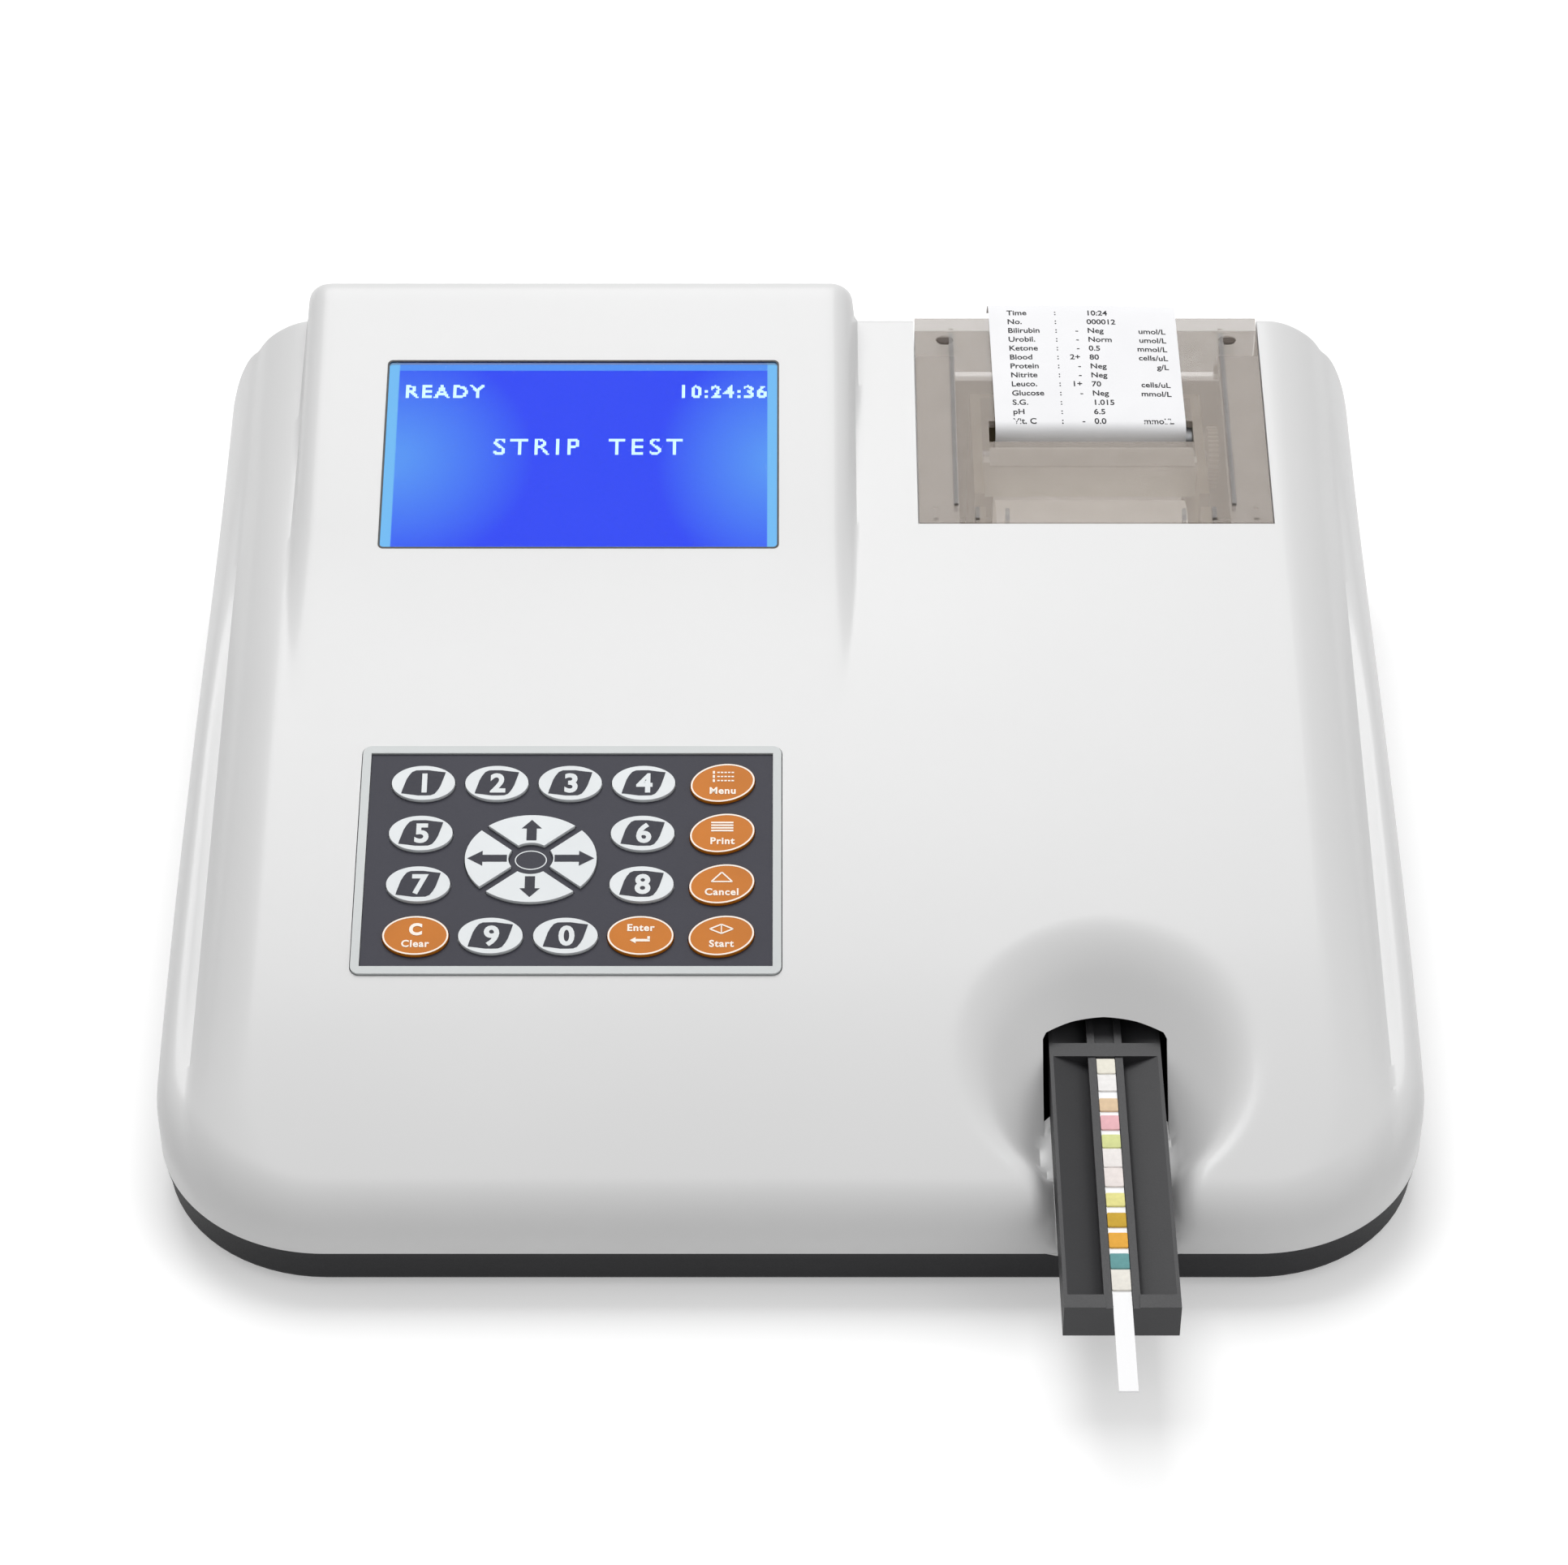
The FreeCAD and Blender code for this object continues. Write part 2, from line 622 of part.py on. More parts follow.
def printer_bay():
    """The tools that open the bay under the printer cover, and the shelf the cover rests on."""
    left = s.printer_middle - s.cover_width / 2 - s.cover_gap
    near = front + s.cover_front - s.cover_gap
    wide = s.cover_width + s.cover_gap * 2
    high = ceiling()
    level = deck_block("bay_level", s.cover_thickness + s.play, 0, s.seam_height, s.housing_width)
    area = box("bay_area", left, near, s.bay_bottom, wide, rear - near + s.overrun, high)
    seat = cut("bay_seat", area, level)
    hole = box("bay_hole", left + s.ledge, near + s.ledge, s.bay_bottom, wide - s.ledge * 2,
               rear - near, high)
    behind = front + s.hinge_back - s.hinge_boss_radius
    notch = box("bay_notch", left, behind, s.bay_bottom, wide, rear - behind + s.overrun, high)
    skin = deck_block("bay_skin", s.wall, 0, s.seam_height, s.housing_width)
    under = deck_block("bay_under", s.cover_thickness + s.play + s.ledge, 0,
                       s.seam_height - s.overrun, s.housing_width + s.overrun)
    rim = box("bay_rim", left - s.ledge, near - s.ledge, s.bay_bottom, wide + s.ledge * 2,
              behind - near + s.ledge, high)
    shelf = common("bay_shelf", cut("bay_band", skin, under), rim)
    return (seat, hole, notch), shelf


def hinge_line(name, radius, length, inset):
    """Two rods on the cover's hinge line, set in from the cover's sides."""
    left = s.printer_middle - s.cover_width / 2 + inset
    right = s.printer_middle + s.cover_width / 2 - inset - length
    return group(name, rod(name + "_left", left, front + s.hinge_back, s.hinge_height, radius, length),
                 rod(name + "_right", right, front + s.hinge_back, s.hinge_height, radius, length))


def post_places():
    """Where the four case screws stand."""
    side = s.housing_width / 2 - s.post_side
    return [(x, y) for x in (-side, side) for y in (front + s.post_front, rear - s.post_rear)]


def columns(name, radius, bottom, height):
    """Four upright cylinders on the case screws' lines."""
    items = [cylinder(f"{name}_{number}", x, y, bottom, radius, height)
             for number, (x, y) in enumerate(post_places())]
    return group(name, *items)


def rear_sockets(gap):
    """The openings in the rear wall for the inlet, the rocker and the port."""
    sockets = (("inlet", s.inlet_middle, s.inlet_width, s.inlet_tall),
               ("rocker", s.rocker_middle, s.rocker_width + gap * 4, s.rocker_tall + gap * 4),
               ("port", s.port_middle, s.port_shell_width, s.port_shell_tall))
    return [box(f"{name}_opening", x - width / 2, rear - s.wall - s.overrun,
                s.socket_height - tall / 2, width, s.wall + s.overrun * 2, tall)
            for name, x, width, tall in sockets]


def top_cover():
    """The upper housing: deck, side ridges, display hood, dish and printer bay in one shell."""
    outer = housing_form("case", nothing, s.seam_height, side_groove())
    cavity = housing_form("cavity", s.wall, s.seam_height - s.overrun, None)
    well, pocket = keypad_well()
    bay, shelf = printer_bay()
    bosses = hinge_line("hinge_boss", s.hinge_boss_radius, s.hinge_boss_length,
                        -s.hinge_boss_length - s.cover_gap)
    posts = columns("case_post", s.post_radius, s.seam_height, ceiling())
    hollow = cut("hollow", cavity, *dish("dish_wall", s.dish_wall), well, shelf, bosses, posts)
    pins = hinge_line("hinge_bore", s.hinge_pin_radius, s.hinge_boss_length + s.overrun,
                      -s.hinge_boss_length - s.cover_gap + s.wall)
    screws = columns("post_bore", s.screw_radius, s.seam_height - s.overrun,
                     s.screw_length - s.seam_height + s.foot_height + s.overrun * 2)
    shell = cut("top_cover", outer, hollow, *dish("dish", nothing), mouth(), pocket,
                window_opening(), *bay, pins, screws, *rear_sockets(s.play))
    return name_part(shell, "top_cover")


# Base

def base_pan():
    """The dark lower pan with its posts and standoffs."""
    inset = s.base_inset
    tall = s.seam_height - s.foot_height
    outer = plan("pan_outer", inset, inset, s.front_corner - inset, tall, s.foot_height)
    block = round_edges("pan_block", outer, s.base_round, at_height(s.foot_height))
    inner = plan("pan_inner", inset + s.wall, inset + s.wall, s.front_corner - inset - s.wall,
                 tall, s.foot_height + s.wall)
    posts = columns("pan_post", s.post_radius, s.foot_height + s.wall, tall)
    hollow = cut("pan_hollow", inner, posts)
    shell = cut("pan_shell", block, hollow)
    floor = s.foot_height + s.wall
    board = stands("main_stand", s.main_left, front + s.main_front, s.main_width, s.main_length,
                   floor, s.main_lift)
    supply = stands("supply_stand", s.supply_left, front + s.supply_front, s.supply_width,
                    s.supply_length, floor, s.supply_lift)
    whole = fuse("pan_whole", shell, *board, *supply)
    studs = group("foot_holes", *[cylinder(f"foot_hole_{number}", x, y, s.foot_height, s.foot_stud_radius,
                                           s.wall + s.overrun)
                                  for number, (x, y) in enumerate(foot_places())])
    heads = columns("head_bore", s.screw_head_radius, s.foot_height, s.screw_head_height)
    shafts = columns("shaft_bore", s.screw_radius, s.foot_height, tall + s.overrun)
    return name_part(cut("base_pan", whole, studs, heads, shafts), "base_pan")


def at_height(level):
    """A test for the edges that lie flat at one height."""
    def chosen(edge):
        flat = edge.BoundBox.ZLength < s.play.value
        return flat and abs(edge.BoundBox.ZMin - level.value) < s.play.value
    return chosen


def stands(name, left, near, width, length, floor, lift):
    """Four stands under the corners of a circuit board."""
    inset = s.standoff_inset
    return [cylinder(f"{name}_{number}", x, y, floor, s.standoff_radius, lift)
            for number, (x, y) in enumerate(
                (x, y) for x in (left + inset, left + width - inset)
                for y in (near + inset, near + length - inset))]


def foot_places():
    """Where the four feet stand."""
    side = s.housing_width / 2 - s.foot_side
    return [(x, y) for x in (-side, side) for y in (front + s.foot_front, rear - s.foot_rear)]


def rubber_feet():
    """Four round feet, each with a stud through the pan's floor."""
    feet = []
    for number, (x, y) in enumerate(foot_places()):
        pad = cylinder(f"foot_pad_{number}", x, y, 0, s.foot_radius, s.foot_height)
        stud = cylinder(f"foot_stud_{number}", x, y, 0, s.foot_stud_radius,
                        s.foot_height + s.foot_stud_height)
        feet.append(fuse(f"foot_{number}", pad, stud))
    return name_part(group("rubber_feet", *feet), "rubber_feet")


def case_screws():
    """The four screws that hold the pan to the upper housing."""
    screws = []
    for number, (x, y) in enumerate(post_places()):
        head = cylinder(f"screw_head_{number}", x, y, s.foot_height, s.screw_head_radius,
                        s.screw_head_height)
        shaft = cylinder(f"screw_shaft_{number}", x, y, s.foot_height, s.screw_radius, s.screw_length)
        screws.append(fuse(f"screw_{number}", head, shaft))
    return name_part(group("case_screws", *screws), "case_screws")


# Display

def display():
    """The clear window and the display module behind it."""
    lens = frame_block("lens", s.window_width, s.window_length, s.play, 0, s.lens_thickness,
                       s.window_start)
    name_part(on_hood(group("display_window", lens)), "display_window")
    low = s.window_start + (s.window_length - s.display_length) / 2
    module = frame_block("display_block", s.display_width, s.display_length, 0, -s.wall,
                         s.display_thickness, low)
    name_part(on_hood(group("display_module", module)), "display_module")


# Keypad

def key_table():
    """Every oval key: its name, place on the slope, length, breadth and turn."""
    first = s.column_start
    pitch = s.column_pitch
    rows = [s.keypad_length - s.row_start + s.play - s.row_pitch * row for row in range(4)]
    keys = []
    grid = ((("key_one", 0), ("key_two", 1), ("key_three", 2), ("key_four", 3)),
            (("key_five", 0), ("key_six", 3)), (("key_seven", 0), ("key_eight", 3)),
            (("key_clear", 0), ("key_nine", 1), ("key_zero", 2), ("key_enter", 3)))
    for row, names in zip(rows, grid):
        for name, column in names:
            wide = name in ("key_clear", "key_enter")
            length = s.side_key_length if wide else s.key_length
            breadth = s.side_key_breadth if wide else s.key_breadth
            keys.append((name, first + pitch * column, row, length, breadth, None))
    for row, name in zip(rows, ("key_menu", "key_print", "key_cancel", "key_start")):
        keys.append((name, s.side_column, row, s.side_key_length, s.side_key_breadth,
                     s.side_key_turn))
    return keys


def cursor_middle():
    """The middle of the cursor pad on the slope."""
    across = s.column_start + s.column_pitch * pad_place_share
    up = s.keypad_length - s.row_start + s.play - s.row_pitch * pad_place_share
    return across, up


def cursor_sector(name, turn, bottom, height, gap):
    """One of the four sectors of the cursor pad, grown by a gap for the hole it sits in."""
    across, up = cursor_middle()
    reach = s.pad_length
    sides = {"up": (0, 1), "down": (0, -1), "left": (-1, 0), "right": (1, 0)}
    along_x, along_y = sides[turn]
    steep = sine(s.pad_angle)
    flat = cosine(s.pad_angle)
    clear = s.pad_bar / 2 - gap
    if along_y:
        tip = up + clear / flat * along_y
        far = tip + reach * steep * along_y
        corners = [(across, tip), (across + reach * flat * along_y, far),
                   (across - reach * flat * along_y, far)]
    else:
        tip = across + clear / steep * along_x
        far = tip + reach * flat * along_x
        corners = [(tip, up), (far, up - reach * steep * along_x), (far, up + reach * steep * along_x)]
    wedge = prism(name + "_wedge", "XY_Plane", corners, height, bottom)
    disc = oval(name + "_disc", across, up, bottom, s.pad_length + gap * 2, s.pad_breadth + gap * 2,
                height)
    hub = oval(name + "_hub", across, up, bottom, s.hub_length - gap * 2, s.hub_breadth - gap * 2,
               height)
    return cut(name, common(name + "_part", disc, wedge), hub)


def key_levels():
    """Heights on the slope: the lip's foot, the lip's top and the key's top."""
    lip_top = -s.overlay_drop - s.overlay_thickness - s.lip_gap
    return lip_top - s.key_lip_height, lip_top, s.key_rise


def keys():
    """Every key, each with the lip that keeps it under the overlay."""
    foot, lip_top, top = key_levels()
    for name, x, y, length, breadth, turn in key_table():
        face = oval(name + "_face", x, y, foot, length, breadth, top - foot, turn)
        lip = oval(name + "_lip", x, y, foot, length + s.key_lip * 2, breadth + s.key_lip * 2,
                   lip_top - foot, turn)
        name_part(on_keypad(fuse(name, face, lip)), name)
    for turn in ("up", "down", "left", "right"):
        name = f"cursor_{turn}"
        face = cursor_sector(name + "_face", turn, foot, top - foot, nothing)
        name_part(on_keypad(group(name, face)), name)


def keypad():
    """The border, the overlay with its holes, the keypad board and the domes on it."""
    wide = s.keypad_width
    long = s.keypad_length
    outer = frame_block("border_outer", wide, long, 0, 0, s.border_height)
    seat = frame_block("border_seat", wide, long, s.border_width, s.overrun,
                       s.overlay_drop + s.overlay_thickness + s.overrun)
    inner = frame_block("border_inner", wide, long, s.border_width + s.border_lip, s.overrun,
                        s.border_height + s.overrun * 2)
    corners = round_edges("border_round", outer, s.keypad_corner, upright)
    name_part(on_keypad(cut("keypad_border", corners, seat, inner)), "keypad_border")
    plate = frame_block("overlay_plate", wide, long, s.border_width + s.play / 2, -s.overlay_drop,
                        s.overlay_thickness)
    bottom = -s.overlay_drop - s.overlay_thickness - s.overrun
    deep = s.overlay_thickness + s.overrun * 2
    holes = [oval(name + "_hole", x, y, bottom, length + s.key_gap * 2, breadth + s.key_gap * 2,
                  deep, turn) for name, x, y, length, breadth, turn in key_table()]
    sectors = [cursor_sector(f"cursor_{turn}_hole", turn, bottom, deep, s.key_gap)
               for turn in ("up", "down", "left", "right")]
    overlay = cut("keypad_overlay", plate, group("key_holes", *holes), group("cursor_holes", *sectors))
    name_part(on_keypad(overlay), "keypad_overlay")
    foot = key_levels()[0]
    board_top = foot - s.key_travel - s.lip_gap - s.dome_height
    board = frame_block("board_block", wide, long, s.border_lip + s.play, board_top,
                        s.board_thickness)
    name_part(on_keypad(group("keypad_board", board)), "keypad_board")
    domes = []
    across, up = cursor_middle()
    spots = [(x, y) for name, x, y, length, breadth, turn in key_table()]
    aside = s.pad_length * pad_press_share
    ahead = s.pad_breadth * pad_press_share
    spots += [(across - aside, up), (across + aside, up), (across, up - ahead), (across, up + ahead)]
    for number, (x, y) in enumerate(spots):
        domes.append(cylinder(f"dome_{number}", x, y, board_top, s.dome_radius, s.dome_height))
    name_part(on_keypad(group("key_domes", *domes)), "key_domes")


# Printer

def cover_slab(name, rise, thickness, x, y, width, length, bottom):
    """A piece of the deck's own curve, with its rear edge turned down as a skirt."""
    outer = deck_block(name + "_outer", -rise, -rise, s.seam_height, s.housing_width)
    inner = deck_block(name + "_inner", thickness - rise, thickness - rise,
                       s.seam_height - s.overrun, s.housing_width + s.overrun)
    area = box(name + "_area", x, y, bottom, width, length, s.housing_depth)
    return common(name, cut(name + "_skin", outer, inner), area)


def printer_cover():
    """The smoked cover: a plate with a skirt, ribs, a paper slot and its hinge knuckles."""
    left = s.printer_middle - s.cover_width / 2
    near = front + s.cover_front
    plate = cover_slab("cover_plate", nothing, s.cover_thickness, left, near, s.cover_width,
                       s.housing_depth, s.skirt_bottom)
    rise = s.rib_rise + s.cover_thickness / 2
    ribs = []
    for number, side in enumerate((-1, 1)):
        x = s.printer_middle + s.rib_offset * side - s.rib_width / 2
        ribs.append(cover_slab(f"cover_rib_{number}", s.rib_rise, rise, x, near + s.stub_length,
                               s.rib_width, s.hinge_back - s.cover_front - s.stub_length,
                               s.hinge_height))
    for number, side in enumerate(stub_place_shares):
        x = s.printer_middle + s.rib_offset * side - s.rib_width / 2
        ribs.append(cover_slab(f"cover_stub_{number}", s.rib_rise, rise, x, near + s.rib_width,
                               s.rib_width, s.stub_length - s.rib_width * 2, s.hinge_height))
    knuckles = hinge_line("cover_knuckle", s.hinge_radius, s.knuckle_length, 0)
    whole = fuse("cover_whole", plate, *knuckles.Links, *ribs)
    bore = hinge_line("cover_bore", s.hinge_pin_radius + s.pin_play, s.knuckle_length + s.overrun * 2,
                      -s.overrun)
    slot = box("cover_slot", s.printer_middle - s.slot_width / 2, front + s.slot_front,
               s.hinge_height, s.slot_width, s.slot_length, ceiling())
    name_part(cut("printer_cover", whole, bore, slot), "printer_cover")
    pins = hinge_line("hinge_pin", s.hinge_pin_radius,
                      s.hinge_boss_length + s.cover_gap + s.knuckle_length - s.wall,
                      s.wall - s.hinge_boss_length - s.cover_gap)
    name_part(pins, "hinge_pins")
    name_part(tear_bar(), "tear_bar")


def tear_bar():
    """The serrated strip under the front edge of the paper slot."""
    count = int(s.slot_width.value / s.tear_tooth.value)
    half = s.slot_width / 2
    teeth = []
    for number in range(count):
        x = s.tear_tooth * number - half
        teeth += [(x, s.play), (x + s.tear_tooth / 2, s.tear_tooth_height)]
    corners = [(-half, -s.tear_bar_depth), (half, -s.tear_bar_depth), (half, s.play)]
    outline = [Vector(x.value, y.value, -s.tear_bar_thickness.value)
               for x, y in corners + teeth[::-1]]
    body = toothed("tear_bar", outline, Vector(0, 0, s.tear_bar_thickness.value))
    level, steep = deck_level(s.slot_front)
    tilt = Size(f"(atan({steep.text}) / 1 deg)", math.degrees(math.atan(steep.value)))
    return place(body, s.printer_middle, front + s.slot_front,
                 level - s.cover_thickness - s.play / 2, tilt)


def bent_strip(name, width, thickness, start_y, start_z, bend, rise, straight_to, curl, turn):
    """A strip that rises, bends back to a slope, runs straight and curls over at its end."""
    lean = sine(rise)
    level = cosine(rise)
    top = start_z + s.receipt_straight
    bent_y = start_y + bend - bend * lean
    bent_z = top + bend * level
    curl_y = straight_to - curl * lean
    curl_z = bent_z + (curl_y - bent_y) * lean / level
    middle_y = straight_to
    middle_z = curl_z - curl * level
    inner = bend - thickness
    tight = curl - thickness
    end = turn - 90
    corners = [(start_y, start_z), (start_y, top, bend, -1), (bent_y, bent_z),
               (curl_y, curl_z, curl, -1),
               (middle_y + curl * cosine(end), middle_z - curl * sine(end)),
               (middle_y + tight * cosine(end), middle_z - tight * sine(end), tight, 1),
               (middle_y - tight * lean, middle_z + tight * level),
               (start_y + bend - inner * lean, top + inner * level, inner, 1),
               (start_y + thickness, top), (start_y + thickness, start_z)]
    body = prism(name, "YZ_Plane", corners, width, 0, True)
    return place(body, s.printer_middle)


def nip_back():
    """Where the paper passes between the head and the platen, behind the front."""
    return s.roll_back + s.roll_radius + s.play


def paper():
    """The roll, the web that rises from it and the printed strip that leaves the slot."""
    wide = s.paper_width
    back = front + nip_back()
    name_part(bent_strip("receipt", wide, s.paper_thickness, back, s.receipt_start, s.receipt_bend,
                         s.receipt_rise, rear + s.receipt_reach - s.receipt_curl, s.receipt_curl,
                         s.curl_turn), "receipt")
    name_part(box("paper_web", s.printer_middle - wide / 2, back, s.roll_height, wide,
                  s.paper_thickness, s.receipt_start - s.play - s.roll_height), "paper_web")
    left = s.printer_middle - wide / 2
    y = front + s.roll_back
    name_part(cut("paper_roll", rod("roll_full", left, y, s.roll_height, s.roll_radius, wide),
                  rod("roll_bore", left - s.overrun, y, s.roll_height, s.core_radius,
                      wide + s.overrun * 2)), "paper_roll")
    reach = s.plate_offset + s.plate_thickness
    core = rod("core_tube", left, y, s.roll_height, s.core_radius, wide)
    axle = rod("core_axle", s.printer_middle - reach, y, s.roll_height, s.spindle_radius, reach * 2)
    name_part(fuse("roll_spindle", core, axle), "roll_spindle")


def platen_line():
    """The platen's place along Y, and the feed pinion's place along Y and Z."""
    y = front + nip_back() + s.paper_thickness + s.play + s.platen_radius
    apart = s.fine_module * (s.platen_teeth + s.feed_teeth) / 2
    return y, y + apart * cosine(s.feed_angle), s.platen_height - apart * sine(s.feed_angle)


def printer_frame():
    """Two side plates on a cradle floor and a rear wall, with the seats of all shafts."""
    x = s.printer_middle
    inside = s.plate_offset
    floor = s.foot_height + s.wall
    near = front + s.plate_front
    long = s.plate_rear - s.plate_front
    tall = s.plate_top - floor
    plates = [box(f"printer_plate_{number}", start, near, floor, s.plate_thickness, long, tall)
              for number, start in enumerate((x - inside - s.plate_thickness, x + inside))]
    cradle = box("cradle", x - inside - s.play, near, s.cradle_height, inside * 2 + s.play * 2, long,
                 s.cradle_thickness)
    wall = box("printer_rear_wall", x - inside - s.play, near + long - s.cradle_thickness,
               s.cradle_height, inside * 2 + s.play * 2, s.cradle_thickness,
               s.plate_top - s.cradle_height)
    whole = fuse("printer_frame_whole", *plates, cradle, wall)
    reach = s.plate_offset + s.plate_thickness + s.overrun
    slot_radius = s.spindle_radius + s.spindle_play
    seat = rod("spindle_seat", x - reach, front + s.roll_back, s.roll_height, slot_radius, reach * 2)
    slot = box("spindle_slot", x - reach, front + s.roll_back - slot_radius, s.roll_height, reach * 2,
               slot_radius * 2, s.plate_top)
    platen_y, feed_y, feed_z = platen_line()
    shaft = rod("platen_bore", x - reach, platen_y, s.platen_height,
                s.platen_shaft_radius + s.pin_play, reach * 2)
    feed = rod("feed_bore", x + inside - s.overrun, feed_y, feed_z,
               s.feed_shaft_radius * 2, s.plate_thickness + s.overrun * 2)
    name_part(cut("printer_frame", whole, seat, slot, shaft, feed), "printer_frame")
    head = box("print_head", x - inside, front + s.roll_back + s.roll_radius - s.head_depth,
               s.head_bottom, inside * 2, s.head_depth, s.head_top - s.head_bottom)
    name_part(head, "print_head")


def gear_points(teeth, module, shift):
    """The outline of a spur gear, with flanks that follow the involute."""
    pitch = teeth.value * module.value / 2
    base = pitch * math.cos(math.radians(s.pressure_angle.value))
    tip = pitch + module.value * s.addendum_share.value
    low = pitch - module.value * s.dedendum_share.value
    half = math.pi / 2 / teeth.value - s.tooth_play.value * module.value / 2 / pitch

    def unwound(radius):
        turn = math.acos(min(1, base / radius))
        return math.tan(turn) - turn

    start = half + unwound(pitch)
    points = []
    radii = [max(low, base) + (tip - max(low, base)) * share for share in flank_shares]
    for number in range(int(teeth.value)):
        middle = math.radians(shift) + 2 * math.pi * number / teeth.value
        flank = [(radius, start - unwound(radius)) for radius in radii]
        if low < base:
            flank.insert(0, (low, start))
        for radius, angle in flank:
            points.append((radius, middle - angle))
        for radius, angle in flank[::-1]:
            points.append((radius, middle + angle))
    return points


def gear(name, teeth, module, width, shift, x, y, z):
    """A spur gear on a shaft line along X; the shift turns its first tooth from +Y to +Z."""
    points = [Vector(0, radius * math.cos(angle), radius * math.sin(angle))
              for radius, angle in gear_points(teeth, module, shift)]
    return place(toothed(name, points, Vector(width.value, 0, 0)), x, y, z)


def feed_train():
    """The platen with its gear, and the feed pinion on its motor."""
    x = s.printer_middle
    inside = s.plate_offset
    reach = inside + s.plate_thickness
    platen_y, feed_y, feed_z = platen_line()
    gear_x = x + reach + s.play * 2
    rubber = rod("rubber", x - s.paper_width / 2, platen_y, s.platen_height, s.platen_radius,
                 s.paper_width)
    shaft_long = reach * 2 + s.play * 2 + s.fine_gear_width
    hole = rod("rubber_bore", x - inside, platen_y, s.platen_height, s.platen_shaft_radius, inside * 2)
    name_part(cut("platen_rubber", rubber, hole), "platen_rubber")
    name_part(rod("platen_shaft", x - reach, platen_y, s.platen_height, s.platen_shaft_radius,
                  shaft_long), "platen_shaft")
    wheel = gear("platen_wheel", s.platen_teeth, s.fine_module, s.fine_gear_width,
                 -s.feed_angle.value, gear_x, platen_y, s.platen_height)
    bore = rod("wheel_bore", gear_x - s.overrun, platen_y, s.platen_height, s.platen_shaft_radius,
               s.fine_gear_width + s.overrun * 2)
    name_part(cut("platen_gear", wheel, bore), "platen_gear")
    shift = 180 - s.feed_angle.value + 180 / s.feed_teeth.value
    small = gear("feed_wheel", s.feed_teeth, s.fine_module, s.fine_gear_width, shift, gear_x, feed_y,
                 feed_z)
    stub = x + inside - s.play - s.wall
    axle = rod("feed_axle", stub, feed_y, feed_z, s.feed_shaft_radius, gear_x - stub + s.fine_gear_width)
    name_part(fuse("feed_pinion", small, axle), "feed_pinion")
    can = rod("feed_can", x + inside - s.feed_motor_length, feed_y, feed_z, s.feed_motor_radius,
              s.feed_motor_length)
    hole = rod("feed_can_bore", stub, feed_y, feed_z, s.feed_shaft_radius + s.pin_play, s.feed_motor_length)
    name_part(cut("feed_motor", can, hole), "feed_motor")


# Tray

def tray_front():
    """The tray's front face along Y, with the tray out as in use."""
    return front - s.tray_out


def tray_section():
    """The tray's section: two panels that fall to a raised rail with a bed for the strip."""
    half = s.tray_width / 2
    top = s.tray_bottom + s.tray_height
    rail = s.rail_width / 2
    bed = s.strip_width / 2 + s.strip_play
    rail_top = top - s.rail_drop
    low = top - s.panel_drop
    channel = s.rack_channel / 2
    roof = s.tray_bottom + s.rack_channel_depth
    right = [(channel, s.tray_bottom), (half, s.tray_bottom), (half, top),
             (half - s.panel_edge, top), (rail, low), (rail, rail_top), (bed, rail_top),
             (bed, rail_top - s.strip_bed)]
    left = [(-x, z) for x, z in right[::-1]]
    return right + left + [(-channel, roof), (channel, roof)]


def strip_tray():
    """The tray with its lips and the strip's stop, the rack under it and the white reference."""
    x = s.tray_middle
    near = tray_front()
    bar = prism("tray_bar", "XZ_Plane", tray_section(), s.tray_length, near)
    place(bar, x)
    top = s.tray_bottom + s.tray_height
    low = top - s.panel_drop - s.play
    half = s.tray_width / 2
    rail = s.rail_width / 2
    lips = []
    for number, (start, deep) in enumerate(((near, s.lip_depth),
                                            (near + s.tray_length - s.lip_depth, s.lip_depth))):
        for side, left in enumerate((x - half, x + rail - s.play)):
            lips.append(box(f"tray_lip_{number}_{side}", left, start, low, half - rail + s.play, deep,
                            top - low))
    lips.append(box("tray_plug", x - s.rack_channel / 2 - s.play, near, s.tray_bottom,
                    s.rack_channel + s.play * 2, s.lip_depth, s.rack_channel_depth + s.play))
    inner = front - s.strip_reach + s.strip_length
    lips.append(box("tray_stop", x - half, inner + s.play, low, half * 2, s.stop_depth, top - low))
    name_part(fuse("strip_tray", bar, *lips), "strip_tray")
    name_part(tray_rack(), "tray_rack")
    bed = top - s.rail_drop - s.strip_bed
    strip = box("test_strip", x - s.strip_width / 2, front - s.strip_reach, bed, s.strip_width,
                s.strip_length, s.strip_thickness)
    name_part(strip, "test_strip")
    pads = []
    for number, (start, end) in enumerate(pad_spans_share):
        pads.append(box(f"pad_{number}", x - s.strip_width / 2, inner - s.strip_length * end,
                        bed + s.strip_thickness, s.strip_width, s.strip_length * (end - start),
                        s.pad_height))
    name_part(group("reagent_pads", *pads), "reagent_pads")
    plate = box("white_reference", x - s.strip_width / 2, front + s.reference_back, bed, s.strip_width,
                s.reference_length, s.strip_thickness + s.pad_height)
    name_part(plate, "white_reference")


def rack_line():
    """The rack's pitch line, and the drive pinion's shaft line."""
    roof = s.tray_bottom + s.rack_channel_depth
    pitch_line = roof - s.rack_back - s.drive_module * s.dedendum_share
    return pitch_line, pitch_line - s.drive_module * s.drive_teeth / 2


